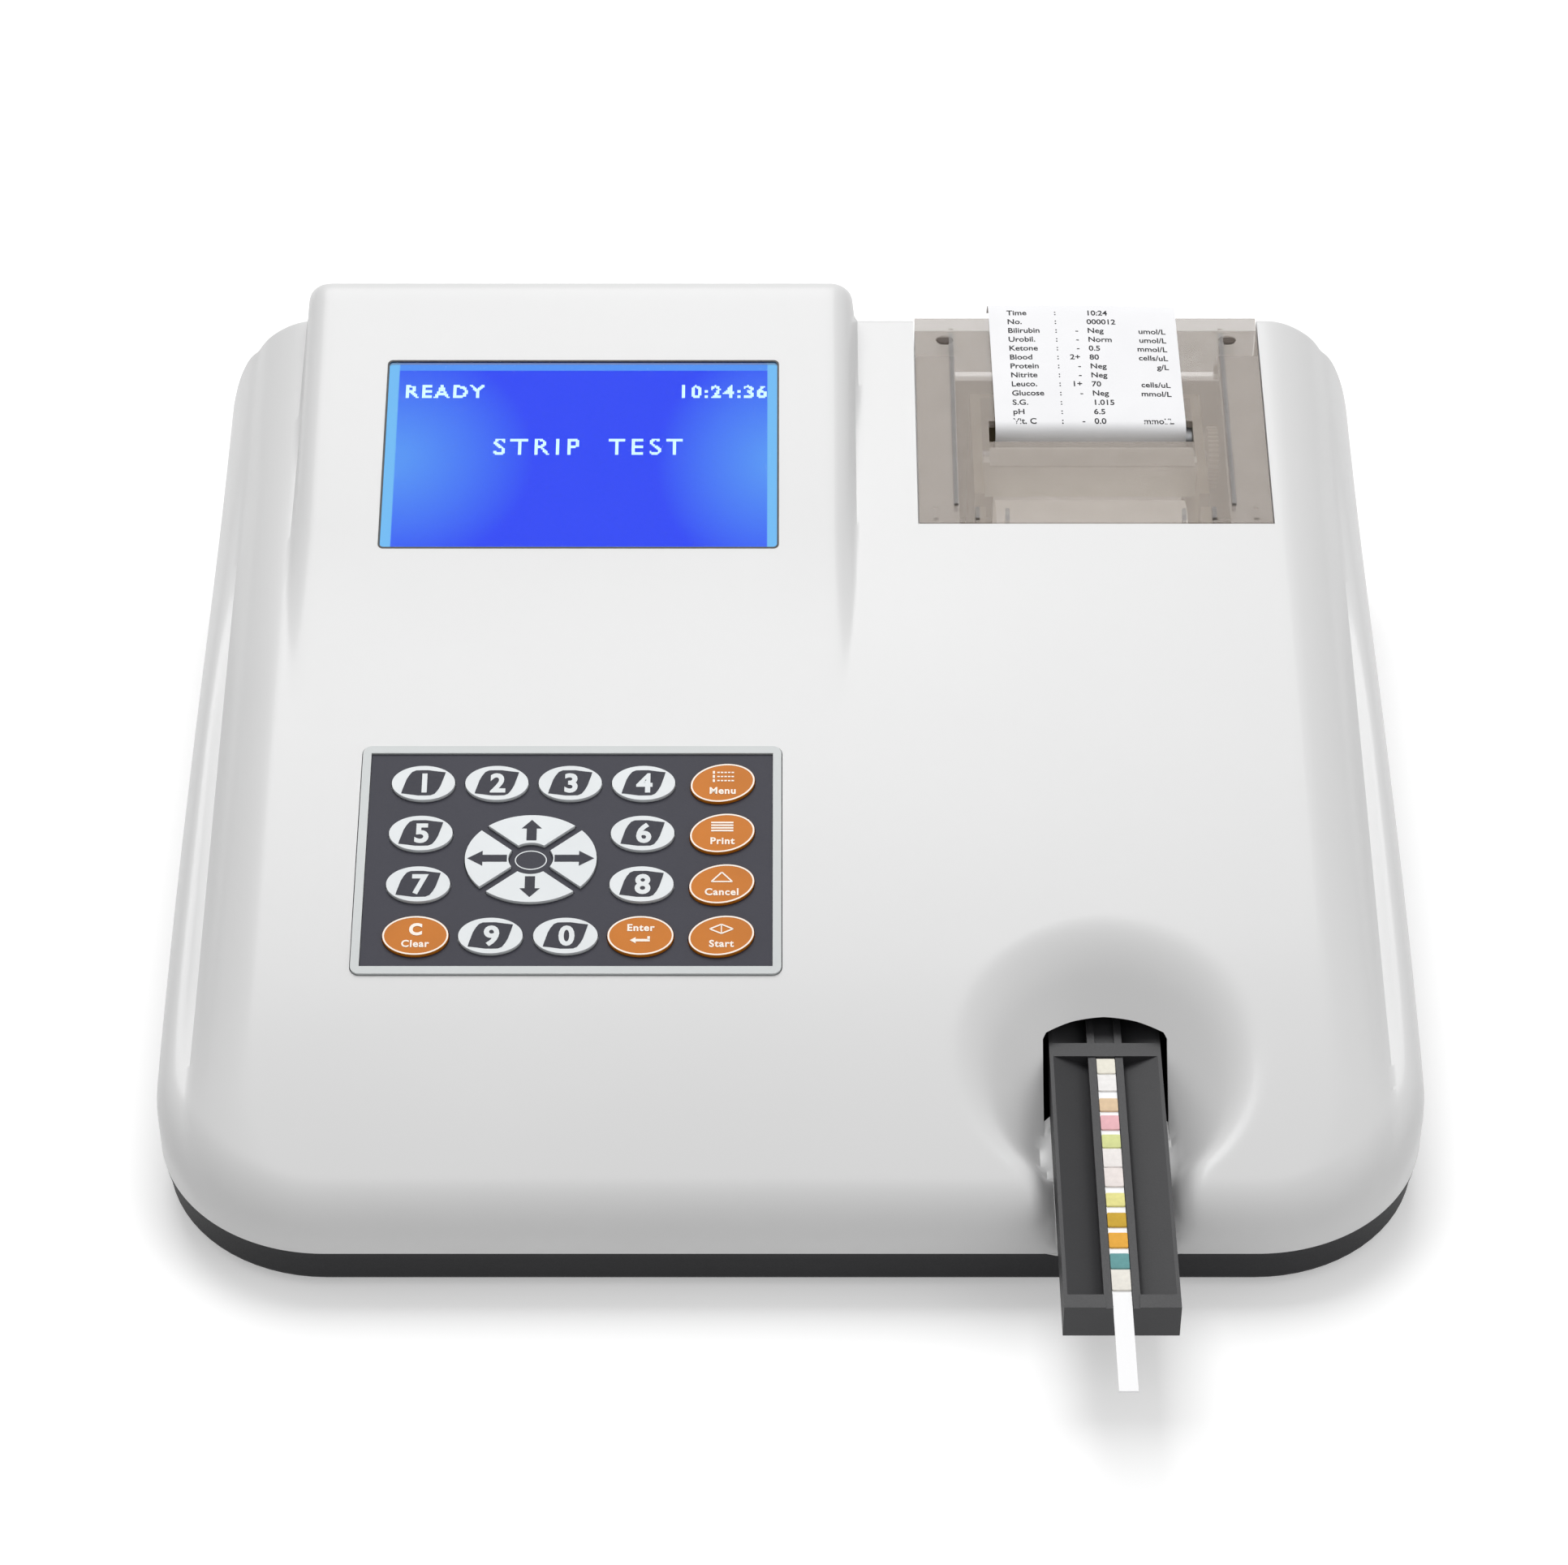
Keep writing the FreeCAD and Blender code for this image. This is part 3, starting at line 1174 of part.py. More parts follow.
def tray_rack():
    """The rack, straight teeth downwards, with a tooth over the pinion at rest."""
    pitch_line = rack_line()[0]
    roof = s.tray_bottom + s.rack_channel_depth
    step = s.drive_module * size(math.pi)
    lean = sine(s.pressure_angle) / cosine(s.pressure_angle)
    tip_half = step / 4 - s.drive_module * s.addendum_share * lean - s.tooth_play / 2
    root_half = step / 4 + s.drive_module * s.dedendum_share * lean - s.tooth_play / 2
    tip = pitch_line - s.drive_module * s.addendum_share
    root_level = pitch_line + s.drive_module * s.dedendum_share
    back = front + s.drive_back
    behind = int((s.rack_end.value - s.drive_back.value) / step.value)
    ahead = int((s.tray_travel.value + s.overrun.value) / step.value)
    corners = [(back + step * behind + step / 2, roof), (back - step * ahead - step / 2, roof),
               (back - step * ahead - step / 2, root_level)]
    for number in range(-ahead, behind + 1):
        middle = back + step * number
        corners += [(middle - root_half, root_level), (middle - tip_half, tip), (middle + tip_half, tip),
                    (middle + root_half, root_level)]
    corners.append((back + step * behind + step / 2, root_level))
    outline = [Vector(0, y.value, z.value) for y, z in corners]
    body = toothed("tray_rack", outline, Vector(s.rack_width.value, 0, 0))
    return place(body, s.tray_middle - s.rack_width / 2)


def tray_guide():
    """The channel that carries the tray, on two walls that stand on the pan."""
    x = s.tray_middle
    gap = s.tray_gap
    half = s.tray_width / 2 + gap
    wall = s.guide_wall
    near = front + s.guide_front
    long = s.guide_rear - s.guide_front
    floor = s.foot_height + s.wall
    block = box("guide_block", x - half - wall, near, floor, (half + wall) * 2, long,
                s.guide_top - floor)
    path = box("guide_path", x - half, near - s.overrun, s.tray_bottom - s.play / 2, half * 2,
               long + s.overrun * 2, s.guide_top)
    under = box("guide_under", x - half, near - s.overrun, floor - s.overrun, half * 2,
                long + s.overrun * 2, s.tray_bottom - s.guide_floor - floor + s.overrun)
    radius = s.drive_module * s.drive_teeth / 2 + s.overrun
    shaft = rack_line()[1]
    window = box("guide_window", x - s.drive_width, front + s.drive_back - radius,
                 floor, s.drive_width * 2, radius * 2, s.guide_top)
    reach = half + wall + s.overrun
    bore = rod("guide_bore", x - reach, front + s.drive_back, shaft, s.drive_shaft_radius + s.pin_play,
               reach * 2)
    name_part(cut("tray_guide", block, path, under, window, bore), "tray_guide")


def tray_drive():
    """The pinion under the tray with its shaft, and the motor beside the guide."""
    x = s.tray_middle
    y = front + s.drive_back
    z = rack_line()[1]
    shift = 90 + 180 / s.drive_teeth.value
    wheel = gear("drive_wheel", s.drive_teeth, s.drive_module, s.drive_width, shift,
                 x - s.drive_width / 2, y, z)
    reach = s.tray_width / 2 + s.tray_gap + s.guide_wall
    deep = s.drive_motor_length * drive_shaft_share
    shaft = rod("drive_shaft", x - reach, y, z, s.drive_shaft_radius, reach * 2 + deep)
    name_part(fuse("drive_pinion", wheel, shaft), "drive_pinion")
    can = rod("drive_can", x + reach, y, z, s.drive_motor_radius, s.drive_motor_length)
    hole = rod("drive_can_bore", x + reach - s.overrun, y, z, s.drive_shaft_radius + s.pin_play,
               deep + s.overrun + s.play)
    name_part(cut("drive_motor", can, hole), "drive_motor")


def optics_head():
    """The reading head that bridges the guide, with its lens barrel looking down."""
    x = s.tray_middle
    half = s.tray_width / 2 + s.tray_gap + s.guide_wall
    near = front + s.optics_front
    middle = near + s.optics_length / 2
    bridge = box("optics_bridge", x - half, near, s.guide_top, half * 2, s.optics_length,
                 s.optics_height * optics_bridge_share)
    wide = s.rail_width * optics_width_share
    long = s.optics_length * optics_body_share
    body = box("optics_body", x - wide / 2, middle - long / 2, s.guide_top, wide, long,
               s.optics_height)
    lens = cylinder("optics_bore", x, middle, s.guide_top - s.overrun, s.optics_lens,
                    s.optics_height * optics_lens_share + s.overrun)
    name_part(cut("optics_head", fuse("optics_whole", bridge, body), lens), "optics_head")


# Electronics and rear sockets

def board(name, left, near, width, length, bottom, height, shares):
    """A circuit board with the blocks on it."""
    sheet_part = box(name + "_sheet", left, near, bottom, width, length, s.circuit_thickness)
    blocks = []
    top = bottom + s.circuit_thickness
    for number, (west, east, south, north, tall) in enumerate(shares):
        blocks.append(box(f"{name}_block_{number}", left + width * west, near + length * south,
                          top, width * (east - west), length * (north - south), height * tall))
    return name_part(fuse(name, sheet_part, *blocks), name)


def electronics():
    """The main board and the power supply on the pan's stands."""
    floor = s.foot_height + s.wall
    board("main_board", s.main_left, front + s.main_front, s.main_width, s.main_length,
          floor + s.main_lift, s.main_lift, board_block_shares)
    board("power_supply", s.supply_left, front + s.supply_front, s.supply_width, s.supply_length,
          floor + s.supply_lift, s.supply_height, supply_block_shares)


def power_inlet():
    """The mains inlet in the rear wall: a body, a bevelled well and three flat blades."""
    x = s.inlet_middle
    z = s.socket_height
    half = s.inlet_width / 2
    tall = s.inlet_tall / 2
    edge = s.inlet_bevel
    outline = [(x - half, z - tall), (x + half, z - tall), (x + half, z + tall - edge),
               (x + half - edge, z + tall), (x - half + edge, z + tall), (x - half, z + tall - edge)]
    body = box("inlet_body", x - half, rear - s.inlet_depth, z - tall, half * 2, s.inlet_depth,
               tall * 2)
    inset = s.inlet_flange
    well = [(x + (u - x) * (1 - inset / half), z + (v - z) * (1 - inset / tall)) for u, v in outline]
    well = prism("inlet_well", "XZ_Plane", well, s.inlet_depth, rear - s.inlet_depth + inset)
    shell = cut("inlet_shell", body, well)
    blades = [box(f"inlet_blade_{number}", x + half * across - s.wall / 4,
                  rear - s.inlet_depth + inset / 2, z + tall * up - s.wall,
                  s.wall / 2, s.inlet_depth - inset * 2, s.wall * 2)
              for number, (across, up) in enumerate(inlet_blade_shares)]
    name_part(fuse("power_inlet", shell, *blades), "power_inlet")


def power_rocker():
    """The rocker with the cross pin that it tips on, and the case that holds the pin."""
    x = s.rocker_middle
    y = rear - s.wall * 2
    z = s.socket_height
    rim = s.wall / 2
    half = s.rocker_width / 2 + s.play * 2
    tall = s.rocker_tall / 2 + s.play * 2
    case = box("rocker_block", x - half, rear - s.rocker_depth, z - tall, half * 2, s.rocker_depth,
               tall * 2)
    hole = box("rocker_hole", x - half + rim, rear - s.rocker_depth + rim, z - tall + rim,
               (half - rim) * 2, s.rocker_depth, (tall - rim) * 2)
    bore = rod("rocker_bore", x - half - s.overrun, y, z, s.rocker_pin_radius + s.pin_play,
               (half + s.overrun) * 2)
    name_part(cut("rocker_case", case, hole, bore), "rocker_case")
    inside = tall - rim - s.play * 3
    face = s.wall
    outline = [(face - rim, -inside / 2), (face + rim, -inside), (face, 0), (face + rim, inside),
               (face - rim, inside / 2), (face - s.rocker_depth / 2, 0)]
    body = prism("rocker_body", "YZ_Plane", outline, (half - rim - s.play) * 2, 0, True)
    pin = rod("rocker_pin", x - half, y, z, s.rocker_pin_radius, half * 2)
    name_part(fuse("power_rocker", place(body, x, y, z, s.rocker_tilt), pin), "power_rocker")


def data_port():
    """The serial port: a flanged body and its metal shell through the rear wall."""
    x = s.port_middle
    z = s.socket_height
    block = box("port_block", x - s.port_width / 2, rear - s.wall - s.port_depth,
                z - s.port_tall / 2, s.port_width, s.port_depth, s.port_tall)
    shell = box("port_shell", x - s.port_shell_width / 2 + s.play, rear - s.wall - s.overrun,
                z - s.port_shell_tall / 2 + s.play, s.port_shell_width - s.play * 2,
                s.wall + s.overrun + s.port_rise, s.port_shell_tall - s.play * 2)
    rim = s.play * 3
    well = box("port_well", x - s.port_shell_width / 2 + rim, rear - s.wall,
               z - s.port_shell_tall / 2 + rim, s.port_shell_width - rim * 2,
               s.wall + s.port_rise + s.overrun, s.port_shell_tall - rim * 2)
    name_part(cut("data_port", fuse("port_whole", block, shell), well), "data_port")


def check_shapes():
    """Stop before anything is written if an object has failed or a shape is unsound."""
    failed = [item.Name for item in doc.Objects
              if "Invalid" in item.State or "Error" in item.State]
    if failed:
        raise RuntimeError(f"these objects failed: {', '.join(failed)}")
    for part in parts:
        if part.Shape.isNull() or not part.Shape.isValid():
            raise RuntimeError(f"the shape of {part.Label} is not sound")


def main():
    """Build every sub-part, check it and write its file."""
    for make in (top_cover, base_pan, rubber_feet, case_screws, display, keypad, keys,
                 printer_cover, paper, printer_frame, feed_train, strip_tray, tray_guide,
                 tray_drive, optics_head, electronics, power_inlet, power_rocker, data_port):
        make()
    doc.recompute()
    check_shapes()
    os.makedirs("parts", exist_ok=True)
    for part in parts:
        part.Shape.exportStep(f"parts/{part.Label}.step")
    print(len(parts), "sub-parts written")


main()
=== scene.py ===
"""A bench analyzer for test strips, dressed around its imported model.

The moulded housing is a height field over the plan of the case. The other pieces are the
packed ones with their finishes, and the prints, seals and small trim that lie on them.
"""
import logging
import math
from dataclasses import dataclass
from enum import Enum

import bmesh
import bpy
import numpy as np
from mathutils import Matrix, Vector


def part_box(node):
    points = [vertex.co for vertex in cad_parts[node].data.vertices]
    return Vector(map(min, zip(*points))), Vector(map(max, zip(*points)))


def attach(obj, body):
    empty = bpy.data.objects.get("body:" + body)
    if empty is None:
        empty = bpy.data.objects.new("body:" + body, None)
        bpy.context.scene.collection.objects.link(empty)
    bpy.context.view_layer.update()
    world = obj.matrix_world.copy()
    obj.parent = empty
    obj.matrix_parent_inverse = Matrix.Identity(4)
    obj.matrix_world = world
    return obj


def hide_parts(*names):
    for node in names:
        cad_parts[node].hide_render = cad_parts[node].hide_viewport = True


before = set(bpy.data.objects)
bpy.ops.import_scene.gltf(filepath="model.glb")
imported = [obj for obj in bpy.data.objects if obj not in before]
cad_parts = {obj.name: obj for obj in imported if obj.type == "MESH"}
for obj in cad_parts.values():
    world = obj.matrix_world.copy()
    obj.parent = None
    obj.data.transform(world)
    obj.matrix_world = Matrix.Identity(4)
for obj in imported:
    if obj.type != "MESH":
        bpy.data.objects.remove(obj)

LOG = logging.getLogger("analyzer")
MM = 0.001
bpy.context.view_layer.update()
COVER_LOW, COVER_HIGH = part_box("top_cover")
FRONT = COVER_LOW.y
DEPTH = (COVER_HIGH.y - COVER_LOW.y) / MM
HALF_WIDTH = COVER_HIGH.x / MM
SEAM = COVER_LOW.z / MM
FROM_FRONT = Matrix.Translation((0, FRONT, 0)) @ Matrix.Scale(MM, 4)

Point = tuple[float, float]


def linear(code: str) -> tuple[float, float, float, float]:
    """Turn a display colour such as #C77B33 into scene values.

    Args:
        code: Six hexadecimal digits after a hash.

    Returns:
        Red, green, blue and a full alpha.
    """
    parts = [int(code[start:start + 2], 16) / 255 for start in (1, 3, 5)]
    red, green, blue = (part / 12.92 if part <= 0.04045 else ((part + 0.055) / 1.055) ** 2.4
                        for part in parts)
    return red, green, blue, 1.0


class Shader:
    """A node material while it is put together."""

    def __init__(self, name: str) -> None:
        """Start with one principled surface.

        Args:
            name: The material's name.
        """
        self.material = bpy.data.materials.new(name)
        self.material.use_nodes = True
        self.nodes = self.material.node_tree.nodes
        self.links = self.material.node_tree.links
        self.surface = self.nodes["Principled BSDF"]

    def fill(self, node: bpy.types.Node, inputs: dict[object, object]) -> None:
        """Give a node's inputs values, or sockets to follow, by name or number."""
        for name, value in inputs.items():
            if isinstance(value, bpy.types.NodeSocket):
                self.links.new(value, node.inputs[name])
            else:
                node.inputs[name].default_value = value

    def set(self, inputs: dict[object, object]) -> None:
        """Give the surface's own inputs values, or sockets to follow."""
        self.fill(self.surface, inputs)

    def node(self, kind: str, inputs: dict[object, object] | None = None,
             **settings: object) -> bpy.types.Node:
        """Add a node.

        Args:
            kind: The node's type name without its prefix.
            inputs: Values or sockets for its inputs, by name or number.
            **settings: Values for its own properties.

        Returns:
            The new node.
        """
        made = self.nodes.new("ShaderNode" + kind)
        for name, value in settings.items():
            setattr(made, name, value)
        self.fill(made, inputs or {})
        return made

    def place(self, scale: tuple[float, float, float] = (1, 1, 1)) -> bpy.types.NodeSocket:
        """The piece's own coordinates in metres, scaled along each axis."""
        where = self.node("TexCoord").outputs["Object"]
        return self.node("Mapping", {"Vector": where, "Scale": scale}).outputs["Vector"]

    def math(self, operation: str, first: object, second: object = 0.0) -> bpy.types.NodeSocket:
        """The result of one arithmetic step."""
        return self.node("Math", {0: first, 1: second}, operation=operation).outputs["Value"]

    def off(self, value: object, place: object) -> bpy.types.NodeSocket:
        """How far a value is from a place, to either side of it."""
        return self.math("ABSOLUTE", self.math("SUBTRACT", value, place))

    def noise(self, scale: float, detail: float = 2.0,
              stretch: tuple[float, float, float] = (1, 1, 1)) -> bpy.types.NodeSocket:
        """Noise with a number of cells in a metre, stretched along an axis."""
        made = self.node("TexNoise", {"Vector": self.place(stretch), "Scale": scale,
                                      "Detail": detail})
        return made.outputs["Fac"]

    def mixed(self, share: object, first: object, second: object) -> bpy.types.NodeSocket:
        """A blend of two colours."""
        return self.node("Mix", {0: share, 6: first, 7: second}, data_type="RGBA").outputs[2]

    def ranged(self, value: bpy.types.NodeSocket, low: float, high: float,
               to_low: float = 0.0, to_high: float = 1.0) -> bpy.types.NodeSocket:
        """A value brought from one range to another."""
        made = self.node("MapRange", {"Value": value, "From Min": low, "From Max": high,
                                      "To Min": to_low, "To Max": to_high})
        return made.outputs["Result"]

    def bump(self, height: bpy.types.NodeSocket, depth: float) -> None:
        """Raise the surface by a height field.

        Args:
            height: Values from 0 to 1.
            depth: How high 1 is, in metres.
        """
        made = self.node("Bump", {"Height": height, "Distance": depth, "Strength": 1.0})
        self.set({"Normal": made.outputs["Normal"]})

    def worn(self, scale: float, low: float, high: float) -> None:
        """Let the roughness wander between two values."""
        self.set({"Roughness": self.ranged(self.noise(scale, 3.0), 0.3, 0.7, low, high)})


@dataclass(frozen=True)
class Finish:
    """A surface with a fine relief and a slight drift of colour.

    The relief is in millimetres, and the grain is the number of its cells in a millimetre.
    """

    name: str
    colour: str
    roughness: float = 0.45
    metallic: float = 0.0
    drift: float = 0.04
    drift_scale: float = 18.0
    grain: float = 1.6
    relief: float = 0.01
    stretch: tuple[float, float, float] = (1, 1, 1)
    coat: float = 0.0
    alpha: float = 1.0
    specular: float = 0.5
    glow: float = 0.0

    def make(self) -> bpy.types.Material:
        """Build the material.

        Returns:
            The finished material.
        """
        shader = Shader(self.name)
        base = linear(self.colour)
        dark = tuple(part * (1 - self.drift) for part in base[:3]) + (1.0,)
        light = tuple(min(1.0, part * (1 + self.drift)) for part in base[:3]) + (1.0,)
        wander = shader.noise(self.drift_scale, 4.0)
        colour = shader.mixed(shader.ranged(wander, 0.3, 0.7), dark, light)
        fine = shader.noise(self.grain / MM, 2.0, self.stretch)
        rough = shader.ranged(fine, 0.3, 0.7, self.roughness - 0.04, self.roughness + 0.04)
        shader.bump(fine, self.relief * MM)
        shader.set({"Base Color": colour, "Roughness": rough, "Metallic": self.metallic,
                    "Coat Weight": self.coat, "Coat Roughness": 0.12, "Alpha": self.alpha,
                    "Specular IOR Level": self.specular})
        if self.glow:
            shader.set({"Emission Color": base, "Emission Strength": self.glow})
        return shader.material


@dataclass(frozen=True)
class Backlight:
    """The lit panel of the display: a blue field with paler patches and a bright rim."""

    name: str = "display_glow"
    field_colour: str = "#3B52FF"
    patch_colour: str = "#5F9DFF"
    rim_colour: str = "#5C9CFF"
    side_colour: str = "#7CC6FF"
    rim_share: float = 0.028
    top_share: float = 0.03

    def make(self) -> bpy.types.Material:
        """Build the material on the panel's own map, which runs from 0 to 1 each way."""
        shader = Shader(self.name)
        mapped = shader.node("UVMap", uv_map="panel").outputs["UV"]
        split = shader.node("SeparateXYZ", {"Vector": mapped})
        across, up = split.outputs["X"], split.outputs["Y"]
        patches = None
        for middle, height, wide, tall in ((0.02, 0.50, 0.36, 0.60), (0.99, 0.48, 0.30, 0.62)):
            run = shader.math("DIVIDE", shader.math("SUBTRACT", across, middle), wide)
            rise = shader.math("DIVIDE", shader.math("SUBTRACT", up, height), tall)
            far = shader.math("SQRT", shader.math("ADD", shader.math("MULTIPLY", run, run),
                                                  shader.math("MULTIPLY", rise, rise)))
            near = shader.ranged(far, 0.1, 1.0, 1.0, 0.0)
            patches = near if patches is None else shader.math("MAXIMUM", patches, near)
        colour = shader.mixed(patches, linear(self.field_colour), linear(self.patch_colour))
        top = shader.ranged(shader.off(up, 0.5), 0.5 - self.top_share * 1.15, 0.5 - self.top_share)
        colour = shader.mixed(top, colour, linear(self.rim_colour))
        side = shader.ranged(shader.off(across, 0.5), 0.5 - self.rim_share * 1.1,
                             0.5 - self.rim_share)
        colour = shader.mixed(side, colour, linear(self.side_colour))
        shader.set({"Base Color": linear("#04060F"), "Emission Color": colour,
                    "Emission Strength": 1.0, "Roughness": 0.6, "Specular IOR Level": 0.0})
        return shader.material


@dataclass(frozen=True)
class ClearLens:
    """The clear window, which lets the panel through and keeps a slight gloss."""

    name: str = "window_clear"
    alpha: float = 0.05

    def make(self) -> bpy.types.Material:
        """Build the material."""
        shader = Shader(self.name)
        shader.worn(120.0, 0.04, 0.09)
        shader.set({"Base Color": linear("#0E1430"), "Alpha": self.alpha,
                    "Specular IOR Level": 0.12})
        return shader.material


@dataclass(frozen=True)
class SmokedCover:
    """Smoked clear plastic, darker where a rib stands under it. Places are in millimetres."""

    name: str = "cover_smoke"
    colour: str = "#8A7A6A"
    rib_colour: str = "#35291F"
    alpha: float = 0.45
    rib_alpha: float = 0.66
    middle: float = 90.0
    rib_half: float = 0.5
    edge: float = 0.25
    ribs: tuple[tuple[float, float, float], ...] = (
        (-41.0, 236.0, 306.0), (41.0, 236.0, 306.0), (-34.85, 230.0, 234.6), (-26.0, 230.0, 234.6),
        (26.0, 230.0, 234.6), (34.85, 230.0, 234.6))

    def make(self) -> bpy.types.Material:
        """Build the material."""
        shader = Shader(self.name)
        split = shader.node("SeparateXYZ", {"Vector": shader.place()})
        across, along = split.outputs["X"], split.outputs["Y"]
        mask = None
        for side, near, far in self.ribs:
            place = (self.middle + side) * MM
            wide = shader.ranged(shader.off(across, place), (self.rib_half + self.edge) * MM,
                                 self.rib_half * MM)
            middle, half = FRONT + (near + far) / 2 * MM, (far - near) / 2
            long = shader.ranged(shader.off(along, middle), (half + self.edge) * MM, half * MM)
            both = shader.math("MULTIPLY", wide, long)
            mask = both if mask is None else shader.math("MAXIMUM", mask, both)
        colour = shader.mixed(mask, linear(self.colour), linear(self.rib_colour))
        shader.set({"Base Color": colour, "Coat Weight": 0.2, "Coat Roughness": 0.12,
                    "Alpha": shader.ranged(mask, 0.0, 1.0, self.alpha, self.rib_alpha)})
        shader.worn(140.0, 0.12, 0.2)
        return shader.material


@dataclass(frozen=True)
class CircuitBoard:
    """Green solder mask with a pattern of tracks under it."""

    name: str
    mask: str = "#12603A"
    track: str = "#1F7A4C"

    def make(self) -> bpy.types.Material:
        """Build the material."""
        shader = Shader(self.name)
        brick = shader.node("TexBrick", {"Vector": shader.place(), "Scale": 60.0,
                                         "Mortar Size": 0.06, "Color1": linear(self.mask),
                                         "Color2": linear(self.mask),
                                         "Mortar": linear(self.track)})
        shader.bump(brick.outputs["Fac"], 0.03 * MM)
        shader.set({"Base Color": brick.outputs["Color"], "Roughness": 0.38})
        return shader.material


@dataclass(frozen=True)
class PaleFloor:
    """A pale floor that stays white to the camera and keeps the object's shadow."""

    name: str = "pale_floor"
    colour: str = "#E8E8E8"
    lift: float = 0.34

    def make(self) -> bpy.types.Material:
        """Build the material."""
        shader = Shader(self.name)
        seen = shader.node("LightPath")
        either = shader.math("MAXIMUM", seen.outputs["Is Camera Ray"],
                             seen.outputs["Is Glossy Ray"])
        either = shader.math("MAXIMUM", either, seen.outputs["Is Transmission Ray"])
        shader.set({"Base Color": linear(self.colour), "Roughness": 0.9,
                    "Specular IOR Level": 0.0, "Emission Color": (1, 1, 1, 1),
                    "Emission Strength": shader.math("MULTIPLY", either, self.lift)})
        return shader.material


class Workshop:
    """Every finish of the object, each made once."""

    FINISHES = (
        Finish("housing_white", "#DADADA", 0.40, drift=0.012, drift_scale=9.0, grain=1.1,
               relief=0.006, coat=0.12),
        Finish("pan_dark", "#262628", 0.56, grain=2.2, relief=0.02, drift=0.08, specular=0.3),
        Finish("foot_rubber", "#1C1C1D", 0.8, grain=3.0, relief=0.03, drift=0.15, specular=0.3),
        Finish("screw_steel", "#B8B9BB", 0.3, metallic=1.0, grain=1.5, relief=0.01,
               stretch=(1, 1, 12)),
        Finish("border_grey", "#C4C8C8", 0.36, drift=0.02, grain=2.0, relief=0.008),
        Finish("overlay_dark", "#3A3A44", 0.5, drift=0.05, drift_scale=40.0, grain=2.6,
               relief=0.012, specular=0.22),
        Finish("legend_dark", "#35353F", 0.5, drift=0.05, relief=0.004, specular=0.22),
        Finish("key_white", "#DFE3E5", 0.42, drift=0.03, drift_scale=60.0, grain=2.4,
               relief=0.008),
        Finish("key_orange", "#CC771A", 0.46, drift=0.06, drift_scale=60.0, grain=2.4,
               relief=0.008, specular=0.22),
        Finish("key_cream", "#FFF3E6", 0.45, drift=0.03, relief=0.004),
        Finish("paper_white", "#EFEFF1", 0.6, drift=0.015, drift_scale=70.0, grain=2.5,
               relief=0.012),
        Finish("ink_grey", "#232327", 0.7, drift=0.2, drift_scale=900.0, relief=0.004),
        Finish("printer_beige", "#A59A80", 0.5, drift=0.04, grain=1.8, relief=0.015),
        Finish("head_ceramic", "#E3E2DC", 0.3, drift=0.02, relief=0.004),
        Finish("platen_black", "#222223", 0.7, drift=0.1, grain=3.0, relief=0.02,
               specular=0.3),
        Finish("gear_white", "#DAD6C8", 0.42, drift=0.03, relief=0.006),
        Finish("motor_steel", "#A9AAAC", 0.36, metallic=1.0, drift=0.06, relief=0.01),
        Finish("tray_dark", "#303032", 0.5, drift=0.06, drift_scale=50.0, grain=2.0,
               relief=0.014),
        Finish("strip_white", "#F2F2F3", 0.35, drift=0.01, relief=0.003),
        Finish("optics_black", "#1E1E20", 0.5, grain=2.2, relief=0.02, drift=0.08),
        Finish("seal_black", "#15161A", 0.45, drift=0.1, relief=0.006),
        Finish("dot_pale", "#B4D6FF", 0.5, drift=0.02, relief=0.001, glow=0.9),
        Finish("mark_smoke", "#4A3D33", 0.3, drift=0.05, relief=0.004, alpha=0.75),
        # The roll's glow is painted light: it brightens the paper roll that lies in the smoked cover's
        # shade.
        Finish("roll_paper", "#F1EDE8", 0.6, drift=0.015, relief=0.012, glow=0.32),
        Finish("chip_black", "#1A1A1C", 0.4, drift=0.05, relief=0.006),
        Finish("bay_grey", "#C9C6BE", 0.5, drift=0.02, relief=0.01),
    )

    def __init__(self) -> None:
        """Make every finish."""
        others = (Backlight(), ClearLens(), SmokedCover(), CircuitBoard("board_green"), PaleFloor())
        self.made = {finish.name: finish.make() for finish in self.FINISHES + others}

    def give(self, name: str) -> bpy.types.Material:
        """The finish of that name."""
        return self.made[name]

    def pad(self, number: int, colour: str) -> bpy.types.Material:
        """A finish for one soaked paper pad."""
        return Finish(f"pad_{number}", colour, 0.8, drift=0.05, drift_scale=700.0, grain=4.0,
                      relief=0.03, specular=0.2).make()


class Slope:
    """A flat face of the housing that leans back, with its own X across and Y up the face."""

    def __init__(self, middle: float, back: float, height: float, lean: float) -> None:
        """Set the face from its lower edge.

        Args:
            middle: The middle along X, in millimetres.
            back: How far the lower edge lies behind the front, in millimetres.
            height: How high the lower edge is, in millimetres.
            lean: The angle of the face in degrees.
        """
        turn = Matrix.Rotation(math.radians(lean), 4, "X")
        shift = Matrix.Translation((middle * MM, FRONT + back * MM, height * MM))
        self.matrix = shift @ turn @ Matrix.Scale(MM, 4)


def added(name: str, data: bpy.types.ID) -> bpy.types.Object:
    """A new object in the scene that shows the data."""
    item = bpy.data.objects.new(name, data)
    bpy.context.scene.collection.objects.link(item)
    return item


